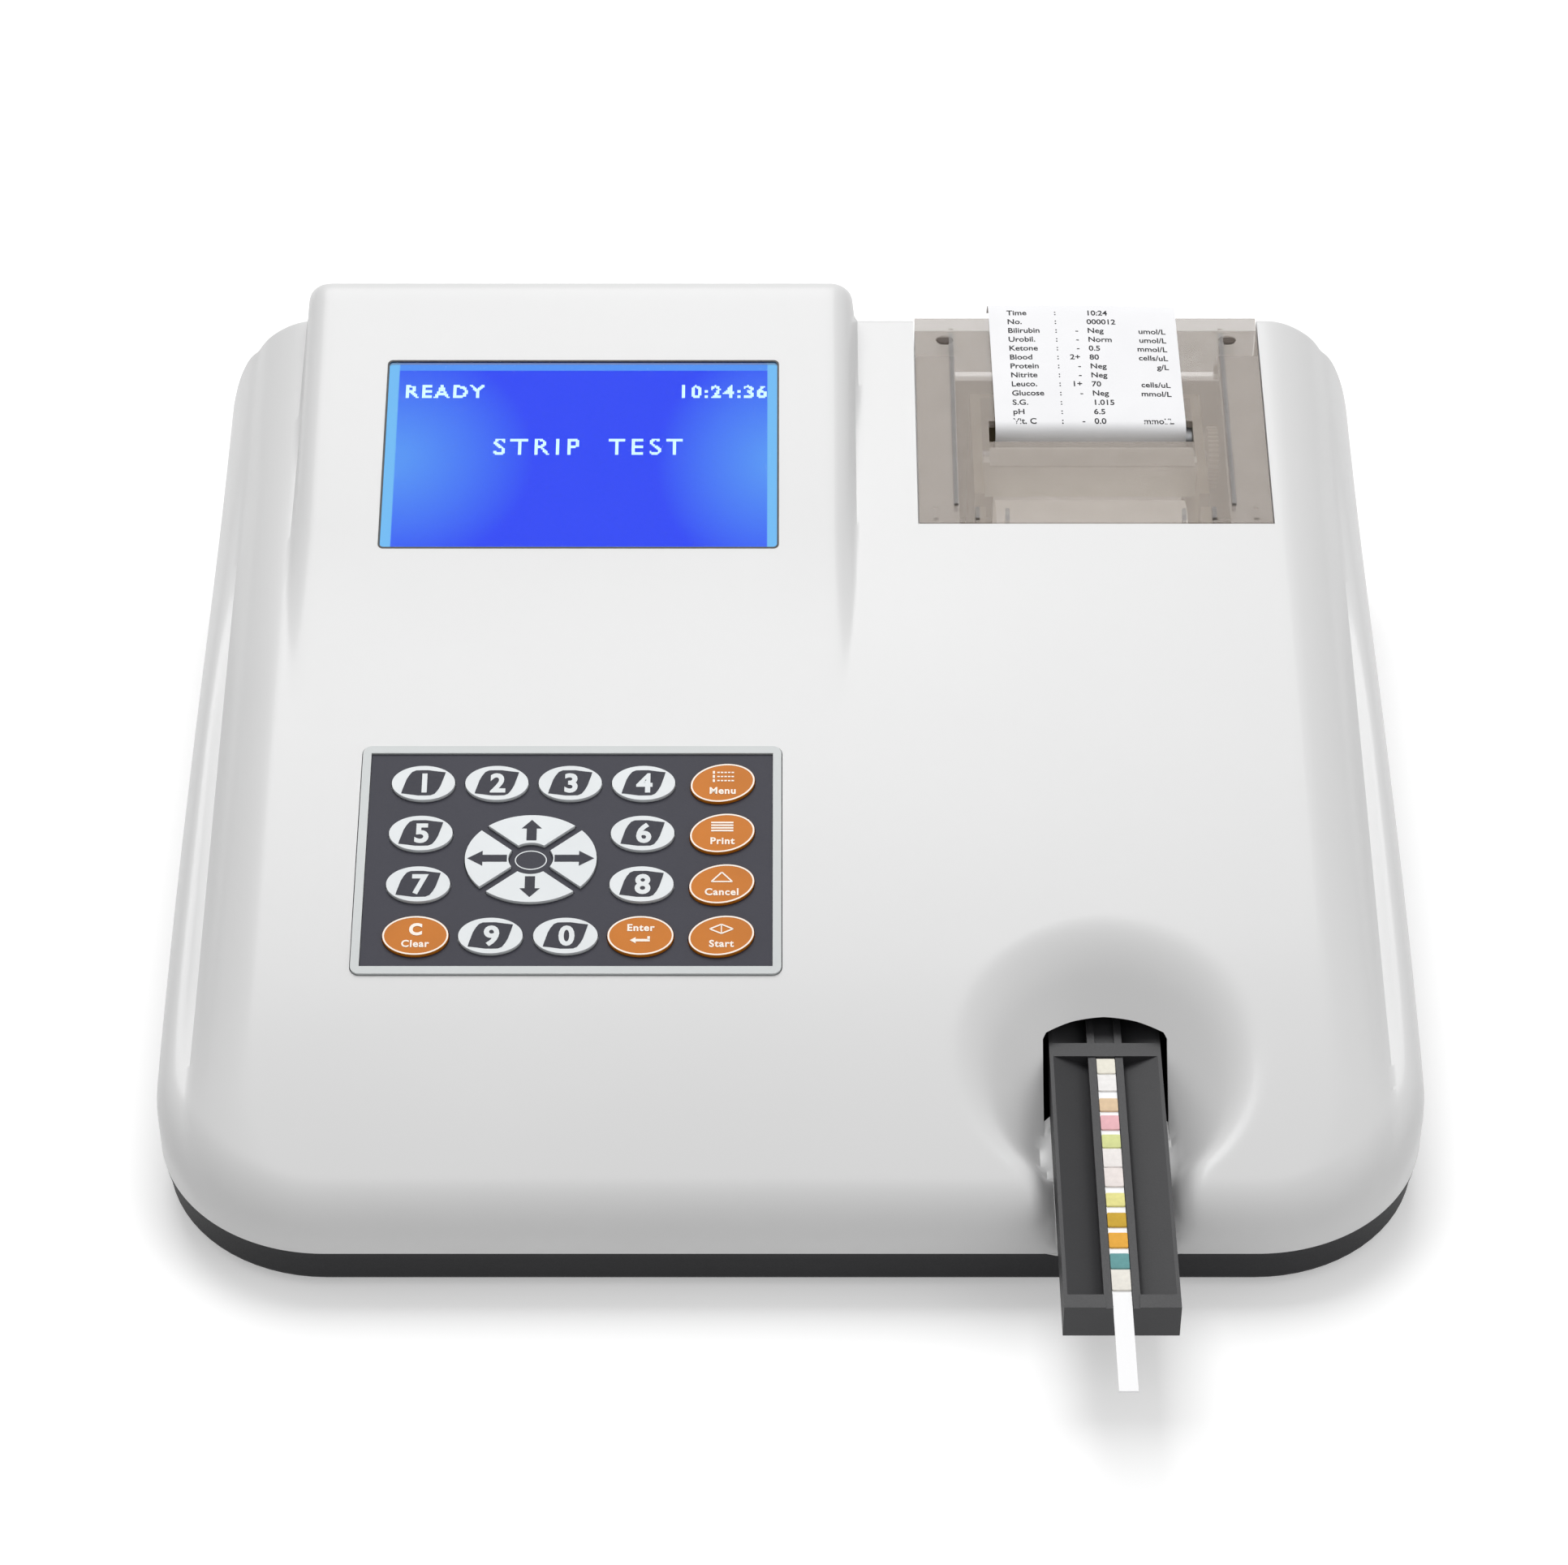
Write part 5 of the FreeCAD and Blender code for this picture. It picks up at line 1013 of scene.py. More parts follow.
@dataclass
class Display:
    """The lit panel with its dots, the window over it and its seal."""

    workshop: Workshop
    face: Slope
    width: float = WINDOW.width
    length: float = WINDOW.length
    start: float = WINDOW.start
    depth: float = -2.2
    dot: float = 0.44
    dot_pitch: float = 1.1
    seal: float = 0.55
    seal_corner: float = 1.1
    seal_levels: tuple[float, float] = (-0.6, 0.12)

    def panel(self) -> bpy.types.Object:
        """The glowing panel, with a map of its own from 0 to 1."""
        half = self.width / 2
        outline = [(-half, self.start), (half, self.start), (half, self.start + self.length),
                   (-half, self.start + self.length)]
        points, faces = Mesh.stack([(outline, self.depth - 0.25), (outline, self.depth)])
        panel = Mesh.object("display_panel", points, faces, self.workshop.give("display_glow"),
                            matrix=self.face.matrix)
        mapped = panel.data.uv_layers.new(name="panel")
        for loop in panel.data.loops:
            x, y, _ = points[loop.vertex_index]
            mapped.data[loop.index].uv = ((x + half) / self.width, (y - self.start) / self.length)
        return panel

    def dot_tree(self) -> bpy.types.NodeTree:
        """A tree that fills the shapes of words with square dots."""
        tree = bpy.data.node_groups.new("display_dots", "GeometryNodeTree")
        sockets = tree.interface
        sockets.new_socket("Geometry", in_out="INPUT", socket_type="NodeSocketGeometry")
        for name, kind in (("Words", "Object"), ("Width", "Float"), ("Length", "Float"),
                           ("Columns", "Int"), ("Rows", "Int"), ("Dot", "Float"),
                           ("Finish", "Material")):
            sockets.new_socket(name, in_out="INPUT", socket_type="NodeSocket" + kind)
        sockets.new_socket("Geometry", in_out="OUTPUT", socket_type="NodeSocketGeometry")
        nodes = {name: tree.nodes.new(kind) for name, kind in (
            ("given", "NodeGroupInput"), ("result", "NodeGroupOutput"),
            ("grid", "GeometryNodeMeshGrid"), ("words", "GeometryNodeObjectInfo"),
            ("ray", "GeometryNodeRaycast"), ("where", "GeometryNodeInputPosition"),
            ("lift", "ShaderNodeVectorMath"), ("away", "FunctionNodeBooleanMath"),
            ("thin", "GeometryNodeDeleteGeometry"), ("square", "GeometryNodeMeshCube"),
            ("size", "ShaderNodeCombineXYZ"), ("place", "GeometryNodeInstanceOnPoints"),
            ("real", "GeometryNodeRealizeInstances"), ("coat", "GeometryNodeSetMaterial"))}
        nodes["away"].operation = "NOT"
        for name, socket, value in (("lift", 1, (0, 0, 5)), ("ray", "Ray Direction", (0, 0, -1)),
                                    ("ray", "Ray Length", 10), ("size", "Z", 0.04)):
            nodes[name].inputs[socket].default_value = value
        for source, output, target, socket in (
                ("given", "Width", "grid", "Size X"), ("given", "Length", "grid", "Size Y"),
                ("given", "Columns", "grid", "Vertices X"), ("given", "Rows", "grid", "Vertices Y"),
                ("given", "Words", "words", "Object"), ("words", "Geometry", "ray", "Target Geometry"),
                ("where", "Position", "lift", 0), ("lift", "Vector", "ray", "Source Position"),
                ("ray", "Is Hit", "away", 0), ("grid", "Mesh", "thin", "Geometry"),
                ("away", "Boolean", "thin", "Selection"), ("given", "Dot", "size", "X"),
                ("given", "Dot", "size", "Y"), ("size", "Vector", "square", "Size"),
                ("thin", "Geometry", "place", "Points"), ("square", "Mesh", "place", "Instance"),
                ("place", "Instances", "real", "Geometry"), ("real", "Geometry", "coat", "Geometry"),
                ("given", "Finish", "coat", "Material"), ("coat", "Geometry", "result", "Geometry")):
            tree.links.new(nodes[source].outputs[output], nodes[target].inputs[socket])
        return tree

    def dots(self) -> bpy.types.Object:
        """The dots that are lit: a clock, a state and a title, all of them generic."""
        shown = []
        for text, height, bold, spacing, align, x, y in (
                ("READY", 4.7, 0.18, 1.25, "LEFT", -53.0, 56.6),
                ("10:24:36", 4.7, 0.18, 1.2, "RIGHT", 55.0, 56.6),
                ("STRIP  TEST", 6.2, 0.06, 1.3, "CENTER", 2.0, 35.6)):
            mesh = Mesh.words(text, height, bold, spacing, align)
            mesh.transform(Matrix.Translation((x, y - self.length / 2, 0)))
            shown.append(mesh)
        words = Mesh.gather("display_words", shown)
        holder = Mesh.object("display_dots", [(0, 0, 0)], [])
        fill = holder.modifiers.new("dots", "NODES")
        fill.node_group = self.dot_tree()
        given = {"Words": words, "Width": self.width, "Length": self.length,
                 "Columns": int(self.width / self.dot / self.dot_pitch),
                 "Rows": int(self.length / self.dot / self.dot_pitch),
                 "Dot": self.dot, "Finish": self.workshop.give("dot_pale")}
        for socket in fill.node_group.interface.items_tree:
            if socket.name in given:
                fill[socket.identifier] = given[socket.name]
        Mesh.settle(holder)
        bpy.data.objects.remove(words)
        shift = Matrix.Translation((0, self.start + self.length / 2, self.depth + 0.04))
        holder.data.transform(self.face.matrix @ shift)
        return holder

    def frame(self) -> bpy.types.Object:
        """The thin black seal round the window."""
        outer, inner = (
            Outline.rounded(self.width - trim * 2, self.length - trim * 2, corner, WINDOW.middle)
            for trim, corner in ((0.0, WINDOW.corner), (self.seal, self.seal_corner)))
        return Mesh.band("window_seal", outer, inner, self.seal_levels,
                         self.workshop.give("seal_black"), self.face.matrix)

    def build(self) -> None:
        """Make every piece of the display and let it ride on the housing."""
        for piece, slot in ((self.panel(), "display_blue"), (self.dots(), "display_blue"),
                            (self.frame(), "overlay_dark")):
            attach(piece, "housing")


class Icon(Enum):
    """The small drawings on the command keys."""

    LIST = "list"
    BARS = "bars"
    TRIANGLE = "triangle"
    DIAMOND = "diamond"
    LETTER = "letter"
    BACK = "back"


class Side(Enum):
    """The four sectors of the cursor pad, each with its turn from +Y in degrees."""

    UP = 0
    LEFT = 90
    DOWN = 180
    RIGHT = 270


@dataclass
class Keypad:
    """The prints on the keys. All sizes are in millimetres on the keypad's own face."""

    workshop: Workshop
    face: Slope
    first_column: float = -41.5
    pitch: float = 20.6
    side_column: float = 42.5
    first_row: float = 63.1
    row_pitch: float = 17.0
    top: float = 0.4
    film: float = 0.05
    film_gap: float = 0.005
    hub_top: float = -0.6
    key_size: Point = (17.7, 11.6)
    digit: float = 6.3
    command_size: Point = (18.2, 12.7)
    turn: float = 12.0

    def spot(self, column: float, row: float) -> Point:
        """The middle of a key from its column and row."""
        return self.first_column + self.pitch * column, self.first_row - self.row_pitch * row

    def level(self, layer: int) -> float:
        """How high the lower face of a print lies on a key, with layers counted from one."""
        return self.top + self.film * (layer - 1) + self.film_gap

    def ink(self, name: str, outline: list[Point], where: Point, finish: str,
            layer: int = 1) -> bpy.types.Object:
        """A thin print on a key.

        Args:
            name: The print's name.
            outline: Its outline about the key's middle.
            where: The key's middle.
            finish: The print's finish.
            layer: How many films lie under it, counted from one.

        Returns:
            The print.
        """
        moved, low = Outline.moved(outline, where), self.level(layer)
        return Mesh.object(name, *Mesh.stack([(moved, low), (moved, low + self.film)]),
                           self.workshop.give(finish), matrix=self.face.matrix)

    def lettered(self, name: str, text: str, height: float, where: Point, finish: str,
                 layer: int, bold: float, spacing: float = 1.0) -> bpy.types.Object:
        """Words printed on a key, with their middle at a place."""
        mesh = Mesh.words(text, height, bold, spacing, thick=self.film)
        shift = Matrix.Translation((where[0], where[1] - height / 2, self.level(layer)))
        return Mesh.gather(name, [mesh], self.workshop.give(finish), matrix=self.face.matrix @ shift)

    def ride(self, key: str, *pieces: bpy.types.Object) -> None:
        """Let prints ride on their key."""
        for piece in pieces:
            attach(piece, key + "_cap")

    def numbers(self) -> None:
        """The ten number keys, each with a leaf and a digit."""
        spots = {"one": (0, 0), "two": (1, 0), "three": (2, 0), "four": (3, 0), "five": (0, 1),
                 "six": (3, 1), "seven": (0, 2), "eight": (3, 2), "nine": (1, 3), "zero": (2, 3)}
        names = list(spots)
        for name, (column, row) in spots.items():
            where = self.spot(column, row)
            text = str((names.index(name) + 1) % 10)
            leaf = self.ink(f"leaf_{name}", Outline.leaf(*self.key_size), where, "legend_dark")
            digit = self.lettered(f"digit_{name}", text, self.digit, (where[0] + 0.3, where[1] + 0.1),
                                  "key_white", 2, 0.3)
            self.ride(f"key_{name}", leaf, digit)

    def icon(self, kind: Icon, name: str, where: Point) -> bpy.types.Object:
        """One small drawing, as separate strokes in one piece."""
        strokes: list[list[Point]] = []

        def bar(x: float, y: float, wide: float, tall: float) -> None:
            """Add a level bar by its middle."""
            strokes.append([(x - wide / 2, y - tall / 2), (x + wide / 2, y - tall / 2),
                            (x + wide / 2, y + tall / 2), (x - wide / 2, y + tall / 2)])

        def line(start: Point, end: Point, wide: float = 0.42) -> None:
            """Add a stroke between two points."""
            run = (end[0] - start[0], end[1] - start[1])
            far = math.hypot(*run)
            off = (-run[1] / far * wide / 2, run[0] / far * wide / 2)
            strokes.append([(start[0] - off[0], start[1] - off[1]), (end[0] - off[0], end[1] - off[1]),
                            (end[0] + off[0], end[1] + off[1]), (start[0] + off[0], start[1] + off[1])])

        def figure(*corners: Point) -> None:
            """Add a closed figure of strokes."""
            for first, second in zip(corners, corners[1:] + corners[:1]):
                line(first, second)

        if kind is Icon.LIST:
            for row in range(3):
                bar(-2.5, 1.4 - row * 1.4, 0.6, 0.95)
                for step in range(5):
                    bar(-1.2 + step * 1.0, 1.4 - row * 1.4, 0.7, 0.42)
        elif kind is Icon.BARS:
            for row in range(4):
                bar(0, 1.35 - row * 0.9, 6.2, 0.52)
        elif kind is Icon.TRIANGLE:
            figure((-2.9, -1.4), (2.9, -1.4), (0.0, 1.7))
        elif kind is Icon.DIAMOND:
            figure((-3.2, 0), (0, -1.5), (3.2, 0), (0, 1.5))
            line((0, -1.2), (0, 1.2), 0.3)
        else:
            strokes.append([(-2.9, 0), (-1.3, -1.0), (-1.3, -0.4), (2.6, -0.4), (2.6, 0.4),
                            (-1.3, 0.4), (-1.3, 1.0)])
            bar(2.25, 0.75, 0.7, 1.1)
        meshes = []
        for number, stroke in enumerate(strokes):
            part = self.ink(f"{name}_{number}", stroke, where, "key_cream", 2)
            meshes.append(part.data)
            bpy.data.objects.remove(part)
        return Mesh.gather(name, meshes, self.workshop.give("key_cream"))

    def commands(self) -> None:
        """The six orange keys, each with a pale border, a word and a drawing."""
        for name, word, kind, column, row, turn in (
                ("menu", "Menu", Icon.LIST, None, 0, self.turn),
                ("print", "Print", Icon.BARS, None, 1, self.turn),
                ("cancel", "Cancel", Icon.TRIANGLE, None, 2, self.turn),
                ("start", "Start", Icon.DIAMOND, None, 3, self.turn),
                ("clear", "Clear", Icon.LETTER, 0, 3, 0.0), ("enter", "Enter", Icon.BACK, 3, 3, 0.0)):
            where = self.spot(0 if column is None else column, row)
            if column is None:
                where = (self.side_column, where[1])
            outer = Outline.oval(*(value - 0.1 for value in self.command_size), turn=turn)
            inner = Outline.oval(*(value - 1.0 for value in self.command_size), turn=turn)
            rim = self.ring(f"rim_{name}", outer, inner, where, "key_cream", self.level(1))
            word_up = name == "enter"
            word_spot = (where[0], where[1] + (2.6 if word_up else -2.6))
            letters = self.lettered(f"word_{name}", word, 2.25, word_spot, "key_cream", 2, 0.09, 1.12)
            spot = (where[0], where[1] + (-1.6 if word_up else 2.1))
            if kind is Icon.LETTER:
                mark = self.lettered(f"mark_{name}", "C", 3.7, spot, "key_cream", 2, 0.24)
            else:
                mark = self.icon(kind, f"mark_{name}", spot)
            self.ride(f"key_{name}", rim, letters, mark)

    def ring(self, name: str, outer: list[Point], inner: list[Point], where: Point, finish: str,
             low: float) -> bpy.types.Object:
        """A flat printed ring between two outlines, with its lower face at a level."""
        return Mesh.band(name, Outline.moved(outer, where), Outline.moved(inner, where),
                         (low, low + self.film), self.workshop.give(finish), self.face.matrix)

    def cursor(self) -> None:
        """The arrows on the cursor pad and the ring round its hub."""
        middle = self.spot(1.5, 1.5)
        reach = {Side.UP: (6.0, 6.9), Side.DOWN: (6.0, 6.9), Side.LEFT: (6.6, 11.0),
                 Side.RIGHT: (6.6, 11.0)}
        for side, (start, length) in reach.items():
            wide, stem = (5.6, 2.8) if side in (Side.UP, Side.DOWN) else (5.0, 2.3)
            arrow = Outline.arrow(length, 2.9 if length < 7 else 4.2, wide, stem)
            outline = Outline.turned([(x, y + start) for x, y in arrow], side.value)
            name = side.name.lower()
            piece = self.ink(f"arrow_leaf_{name}", outline, middle, "legend_dark")
            self.ride(f"cursor_{name}", piece)
        hub = self.ring("hub_ring", Outline.oval(8.9, 6.4), Outline.oval(8.3, 5.8), middle,
                        "key_white", self.hub_top + self.film_gap)
        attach(hub, "housing")

    def build(self) -> None:
        """Print every key."""
        self.numbers()
        self.commands()
        self.cursor()


@dataclass
class Printer:
    """The bay, the smoked cover's marks and the printed paper. Sizes are in millimetres."""

    workshop: Workshop
    deck: Arc
    middle: float = 90.0
    left: float = 38.0
    right: float = 142.0
    near: float = 229.0
    gap: float = 0.4
    sill: float = 70.0
    ledge: float = 2.0
    side_ledge: float = 12.0
    cover: float = 2.8
    paper_half: float = 28.5
    nip: float = 265.8
    start: float = 78.0
    straight: float = 4.6
    bend: float = 4.0
    rise: float = 8.5
    curl: float = 7.0
    curl_turn: float = 100.0
    reach: float = 9.0
    first_row: float = 4.6
    row_pitch: float = 3.75
    letter: float = 2.15

    def ledge_strip(self) -> bpy.types.Object:
        """The shelf under the cover's edge, along the front and both sides of the bay."""
        near, far = self.near - self.gap, 300.0
        meshes = []
        for low_x, high_x, start, end in (
                (self.left - self.gap, self.left + self.side_ledge, near, far),
                (self.right - self.side_ledge, self.right + self.gap, near, far),
                (self.left + self.side_ledge, self.right - self.side_ledge, near,
                 near + self.ledge)):
            count = 14
            rings = []
            for step in range(count + 1):
                back = start + (end - start) * step / count
                top = float(self.deck.height(back)) - self.cover
                rings.append([(low_x, back, top - 2.0), (high_x, back, top - 2.0),
                              (high_x, back, top), (low_x, back, top)])
            meshes.append(Mesh.loose(*Mesh.skin(rings)))
        shelf = Mesh.gather("bay_ledge", meshes, self.workshop.give("housing_white"), matrix=FROM_FRONT)
        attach(shelf, "housing")
        return shelf

    def spine(self) -> list[tuple[float, float, float]]:
        """Points along the printed side of the strip: distance, place behind the front, height."""
        lean = math.radians(self.rise)
        top = self.start + self.straight
        points = [(0.0, self.nip, self.start)]
        run = self.straight
        steps = 8
        for step in range(steps + 1):
            turn = (math.pi / 2 - lean) * step / steps
            points.append((run + self.bend * turn, self.nip + self.bend * (1 - math.cos(turn)),
                           top + self.bend * math.sin(turn)))
        run, back, height = points[-1]
        end = DEPTH + self.reach - self.curl * (1 + math.sin(lean))
        far = (end - back) / math.cos(lean)
        for step in range(1, 13):
            ratio = step / 12
            points.append((run + far * ratio, back + far * ratio * math.cos(lean),
                           height + far * ratio * math.sin(lean)))
        run, back, height = points[-1]
        full = math.radians(self.curl_turn - self.rise)
        for step in range(1, 17):
            turn = full * step / 16
            points.append((run + self.curl * turn,
                           back + self.curl * (math.sin(turn - lean) + math.sin(lean)),
                           height + self.curl * (math.cos(turn - lean) - math.cos(lean))))
        return points

    def at(self, along: float) -> tuple[float, float, float, float]:
        """Where a distance along the strip lies: place behind the front, height and direction."""
        points = self.spine()
        for first, second in zip(points, points[1:]):
            if along <= second[0] or second is points[-1]:
                ratio = (along - first[0]) / (second[0] - first[0])
                run, up = second[1] - first[1], second[2] - first[2]
                far = math.hypot(run, up)
                return first[1] + run * ratio, first[2] + up * ratio, run / far, up / far
        raise ValueError("the strip has no points")

    def receipt(self) -> bpy.types.Object:
        """The printed strip: thin paper that bows a little across and leans at its end."""
        spine = self.spine()
        columns = 12
        points, faces = [], []
        for along, back, height in spine:
            for column in range(columns + 1):
                share = column / columns * 2 - 1
                points.append((self.middle + share * self.paper_half + self.drift(along), back,
                               height + self.bow(share, along)))
        for row in range(len(spine) - 1):
            for column in range(columns):
                start = row * (columns + 1) + column
                faces.append([start, start + 1, start + columns + 2, start + columns + 1])
        strip = Mesh.object("receipt_paper", points, faces, self.workshop.give("paper_white"),
                            matrix=FROM_FRONT)
        thick = strip.modifiers.new("thickness", "SOLIDIFY")
        thick.thickness = 0.12 * MM
        thick.offset = -1
        Mesh.settle(strip)
        Mesh.smooth(strip, 60.0)
        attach(strip, "cover")
        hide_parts("receipt")
        return strip

    def drift(self, along: float) -> float:
        """How far the strip leans to the left at a distance along it."""
        return -0.018 * max(along - self.straight, 0.0)

    def bow(self, share: float, along: float) -> float:
        """How much the strip bows across, at a share of its half width."""
        grown = min(max(along - self.straight, 0.0) / 20, 1.0)
        return grown * (0.5 * (1 - share ** 2) - 0.35 * share)

    def printing(self) -> bpy.types.Object:
        """The rows on the strip: made up tests with signs, values and units."""
        rows = (("Vit. C", "-", "0.0", "mmol/L"), ("pH", "", "6.5", ""), ("S.G.", "", "1.015", ""),
                ("Glucose", "-", "Neg", "mmol/L"), ("Leuco.", "1+", "70", "cells/uL"),
                ("Nitrite", "-", "Neg", ""), ("Protein", "-", "Neg", "g/L"),
                ("Blood", "2+", "80", "cells/uL"), ("Ketone", "-", "0.5", "mmol/L"),
                ("Urobil.", "-", "Norm", "umol/L"), ("Bilirubin", "-", "Neg", "umol/L"),
                ("No.", "", "000012", ""), ("Time", "", "10:24", ""))
        meshes = []
        for number, (label, sign, value, unit) in enumerate(rows):
            base = self.straight + self.first_row + self.row_pitch * number
            for text, x, align in ((label, -23.0, "LEFT"), (":", -8.6, "LEFT"), (sign, -1.5, "RIGHT"),
                                   (value, 1.2, "LEFT"), (unit, 25.0, "RIGHT")):
                if text:
                    print_mesh = Mesh.words(text, self.letter, 0.05, 1.0, align, 0.02)
                    meshes.append(self.bent(print_mesh, x, base))
        print_piece = Mesh.gather("receipt_print", meshes, self.workshop.give("ink_grey"),
                                  matrix=FROM_FRONT)
        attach(print_piece, "cover")
        return print_piece

    def bent(self, mesh: bpy.types.Mesh, x: float, base: float) -> bpy.types.Mesh:
        """Lay a flat print on the strip, with its line across it at a distance along it."""
        for vertex in mesh.vertices:
            side, up, lift = vertex.co
            along = base + up
            back, height, run, rise = self.at(along)
            share = (side + x) / self.paper_half
            proud = lift + 0.02
            vertex.co = (self.middle + side + x + self.drift(along), back - rise * proud,
                         height + run * proud + self.bow(share, along))
        return mesh

    def marks(self) -> bpy.types.Object:
        """The two small ejector marks on the cover."""
        meshes = []
        for x, back in ((-43.0, 304.0), (43.0, 304.0)):
            top = float(self.deck.height(back))
            outer = Outline.oval(5.4, 4.4, 40, middle=(self.middle + x, back))
            inner = Outline.oval(4.6, 3.6, 40, middle=(self.middle + x, back))
            meshes.append(Mesh.loose(*Mesh.stack([(outer, top - 0.2), (inner, top + 0.12)])))
        marks = Mesh.gather("cover_marks", meshes, self.workshop.give("mark_smoke"), matrix=FROM_FRONT)
        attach(marks, "cover")
        return marks

    def build(self) -> None:
        """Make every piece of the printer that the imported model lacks."""
        self.ledge_strip()
        self.receipt()
        self.printing()
        self.marks()


@dataclass
class TestStrip:
    """The soaked pads on the strip, each with a colour of its own."""

    workshop: Workshop
    length: float = 118.0
    width: float = 5.0
    height: float = 0.5
    spans: tuple[tuple[float, float, str], ...] = (
        (0.004, 0.050, "#EFEBDD"), (0.056, 0.106, "#F4F2F0"), (0.130, 0.170, "#E3C8A6"),
        (0.184, 0.228, "#EDB9BF"), (0.244, 0.284, "#DBE09C"), (0.288, 0.344, "#F1ECE9"),
        (0.348, 0.404, "#EFE6E2"), (0.424, 0.464, "#EAE496"), (0.484, 0.526, "#CFA93F"),
        (0.544, 0.588, "#ECAF48"), (0.606, 0.650, "#6BA0A1"), (0.654, 0.714, "#EDE9E0"))

    def build(self) -> None:
        """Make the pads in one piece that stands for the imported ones."""
        low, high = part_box("test_strip")
        inner = high.y / MM
        middle = (low.x + high.x) / 2 / MM
        top = high.z / MM
        finishes = [self.workshop.pad(number, colour)
                    for number, (_, _, colour) in enumerate(self.spans)]
        points, faces, given = [], [], []
        for number, (start, end, _) in enumerate(self.spans):
            long = (end - start) * self.length
            centre = (middle, inner - (start + end) / 2 * self.length)
            rings = [(Outline.rounded(self.width - trim * 2, long - trim * 2, 0.3, centre, 3), z)
                     for trim, z in ((0.0, top), (0.0, top + self.height - 0.12),
                                     (0.05, top + self.height - 0.03), (0.14, top + self.height))]
            solid = Mesh.stack(rings)
            Mesh.extend(points, faces, *solid)
            given += [number] * len(solid[1])
        pads = Mesh.object("soaked_pads", points, faces, *finishes, matrix=Matrix.Scale(MM, 4))
        pads.data.polygons.foreach_set("material_index", given)
        Mesh.smooth(pads, 50.0)
        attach(pads, "tray")
        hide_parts("reagent_pads")


class Studio:
    """The floor, the light and the camera."""

    LENS = 107.1
    SENSOR = 36.0
    CAMERA = (-0.0018, -0.966, 0.946)
    PITCH = 42.3
    AMBIENT = 0.5

    def __init__(self, workshop: Workshop) -> None:
        """Keep the finishes."""
        self.workshop = workshop

    def floor(self) -> None:
        """A wide pale floor."""
        size = 6.0
        corners = [(-size, -size, 0), (size, -size, 0), (size, size, 0), (-size, size, 0)]
        floor = Mesh.object("floor", corners, [[0, 1, 2, 3]], self.workshop.give("pale_floor"))

    def world(self) -> None:
        """Even light from all round, white to the camera."""
        world = bpy.data.worlds.new("studio")
        bpy.context.scene.world = world
        world.use_nodes = True
        nodes, links = world.node_tree.nodes, world.node_tree.links
        shell = nodes["Background"]
        shell.inputs["Color"].default_value = (1, 1, 1, 1)
        path = nodes.new("ShaderNodeLightPath")
        seen = nodes.new("ShaderNodeMath")
        seen.operation = "MAXIMUM"
        links.new(path.outputs["Is Camera Ray"], seen.inputs[0])
        links.new(path.outputs["Is Transmission Ray"], seen.inputs[1])
        strength = nodes.new("ShaderNodeMapRange")
        strength.inputs["To Min"].default_value = self.AMBIENT
        strength.inputs["To Max"].default_value = 1.0
        links.new(seen.outputs["Value"], strength.inputs["Value"])
        links.new(strength.outputs["Result"], shell.inputs["Strength"])

    def lamp(self, name: str, place: tuple[float, float, float], size: float,
             power: float) -> None:
        """A large soft lamp that faces the object."""
        light = bpy.data.lights.new(name, "AREA")
        light.size = size
        light.energy = power
        item = added(name, light)
        item.location = place
        item.rotation_euler = (-Vector(place)).to_track_quat("-Z", "Y").to_euler()

    def camera(self) -> None:
        """The camera at the photograph's angle."""
        data = bpy.data.cameras.new("camera")
        data.lens = self.LENS
        data.sensor_width = self.SENSOR
        data.sensor_fit = "HORIZONTAL"
        item = added("camera", data)
        item.location = self.CAMERA
        item.rotation_euler = (math.radians(90 - self.PITCH), 0, 0)
        bpy.context.scene.camera = item

    def build(self) -> None:
        """Set up the studio."""
        bpy.context.scene.view_settings.view_transform = "Standard"
        self.floor()
        self.world()
        self.lamp("key", (-0.15, 1.05, 1.9), 1.3, 28.0)
        self.lamp("fill", (1.6, -0.9, 1.5), 1.6, 6.0)
        self.camera()


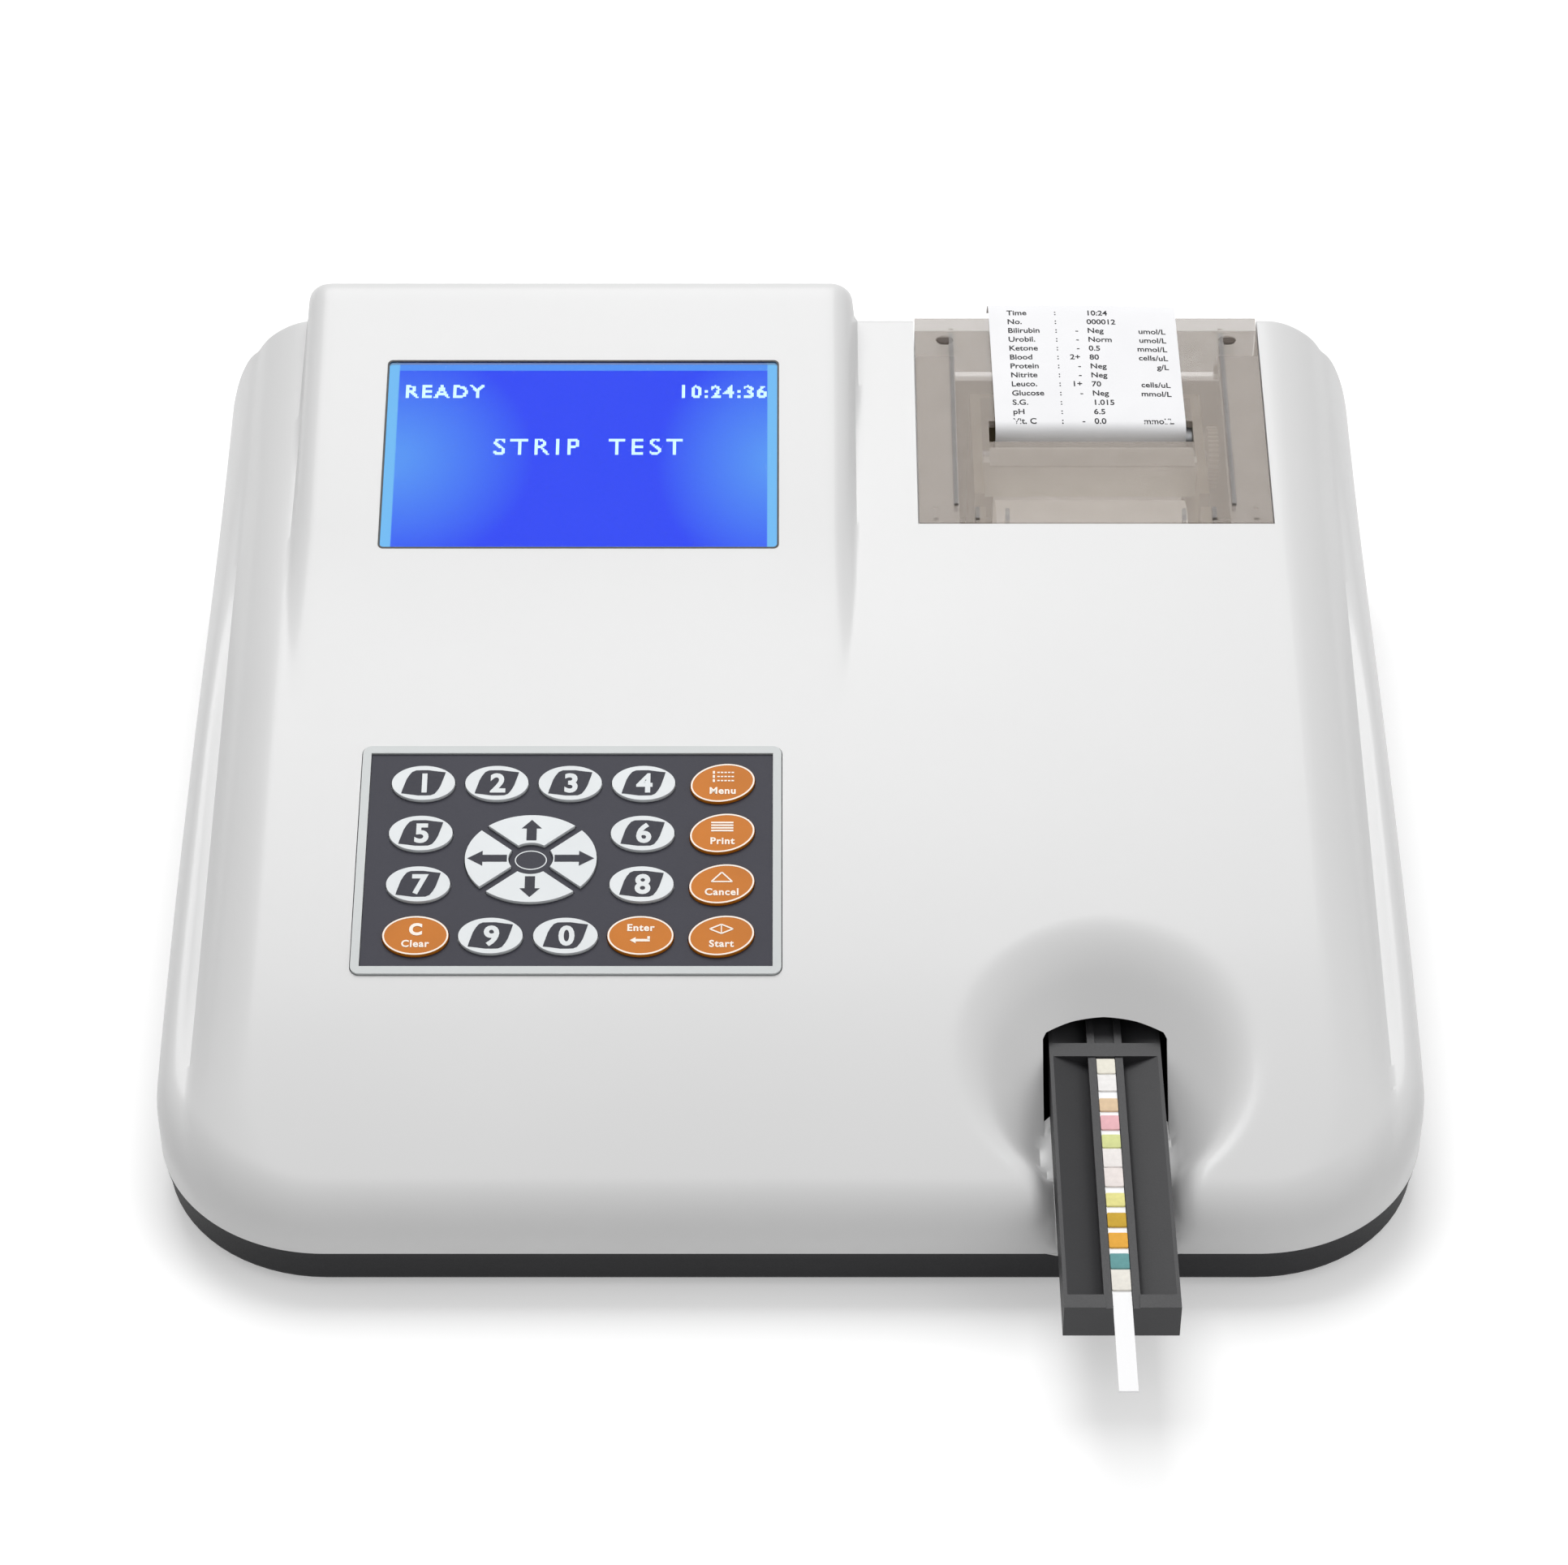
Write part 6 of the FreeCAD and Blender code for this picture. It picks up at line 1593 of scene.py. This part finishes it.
class Dresser:
    """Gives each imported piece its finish."""

    FINISHES = {
        "base_pan": "pan_dark", "rubber_feet": "foot_rubber", "case_screws": "screw_steel",
        "display_window": "window_clear", "display_module": "chip_black",
        "keypad_border": "border_grey", "keypad_overlay": "overlay_dark",
        "keypad_board": "board_green", "key_domes": "screw_steel", "printer_cover": "cover_smoke",
        "hinge_pins": "screw_steel", "tear_bar": "bay_grey", "paper_web": "paper_white",
        "paper_roll": "roll_paper", "roll_spindle": "printer_beige",
        "printer_frame": "printer_beige", "print_head": "head_ceramic",
        "platen_rubber": "platen_black", "platen_shaft": "screw_steel",
        "platen_gear": "gear_white", "feed_pinion": "gear_white", "feed_motor": "motor_steel",
        "strip_tray": "tray_dark", "tray_rack": "gear_white", "test_strip": "strip_white",
        "white_reference": "head_ceramic", "tray_guide": "optics_black",
        "drive_pinion": "gear_white", "drive_motor": "motor_steel", "optics_head": "optics_black",
        "main_board": "board_green", "power_supply": "board_green", "power_inlet": "pan_dark",
        "rocker_case": "pan_dark", "power_rocker": "chip_black", "data_port": "motor_steel"}

    def dress(self, workshop: Workshop) -> None:
        """Assign the finishes; a command key is orange and every other key white."""
        orange = ("key_menu", "key_print", "key_cancel", "key_start", "key_clear", "key_enter")
        for name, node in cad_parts.items():
            finish = self.FINISHES.get(name, "key_orange" if name in orange else "key_white")
            node.data.materials.clear()
            node.data.materials.append(workshop.give(finish))


def main() -> None:
    """Build the studio and every sub-assembly, and report each."""
    logging.basicConfig(level=logging.INFO)
    workshop = Workshop()
    Studio(workshop).build()
    LOG.info("studio set")
    Dresser().dress(workshop)
    LOG.info("packed pieces dressed")
    housing = Housing(workshop)
    keypad_face = Slope(middle=-61.5, back=71.0, height=50.2, lean=12.9)
    hood_face = Slope(housing.hood_middle, housing.hood_front, housing.hood_height,
                      housing.hood_slope)
    printer = Printer(workshop, housing.deck)
    shell = housing.build(keypad_face, hood_face, printer)
    LOG.info("%s has %d faces", shell.name, len(shell.data.polygons))
    for part in (Display(workshop, hood_face), Keypad(workshop, keypad_face), printer,
                 TestStrip(workshop)):
        part.build()
        LOG.info("%s built", type(part).__name__)


if __name__ == "__main__":
    main()
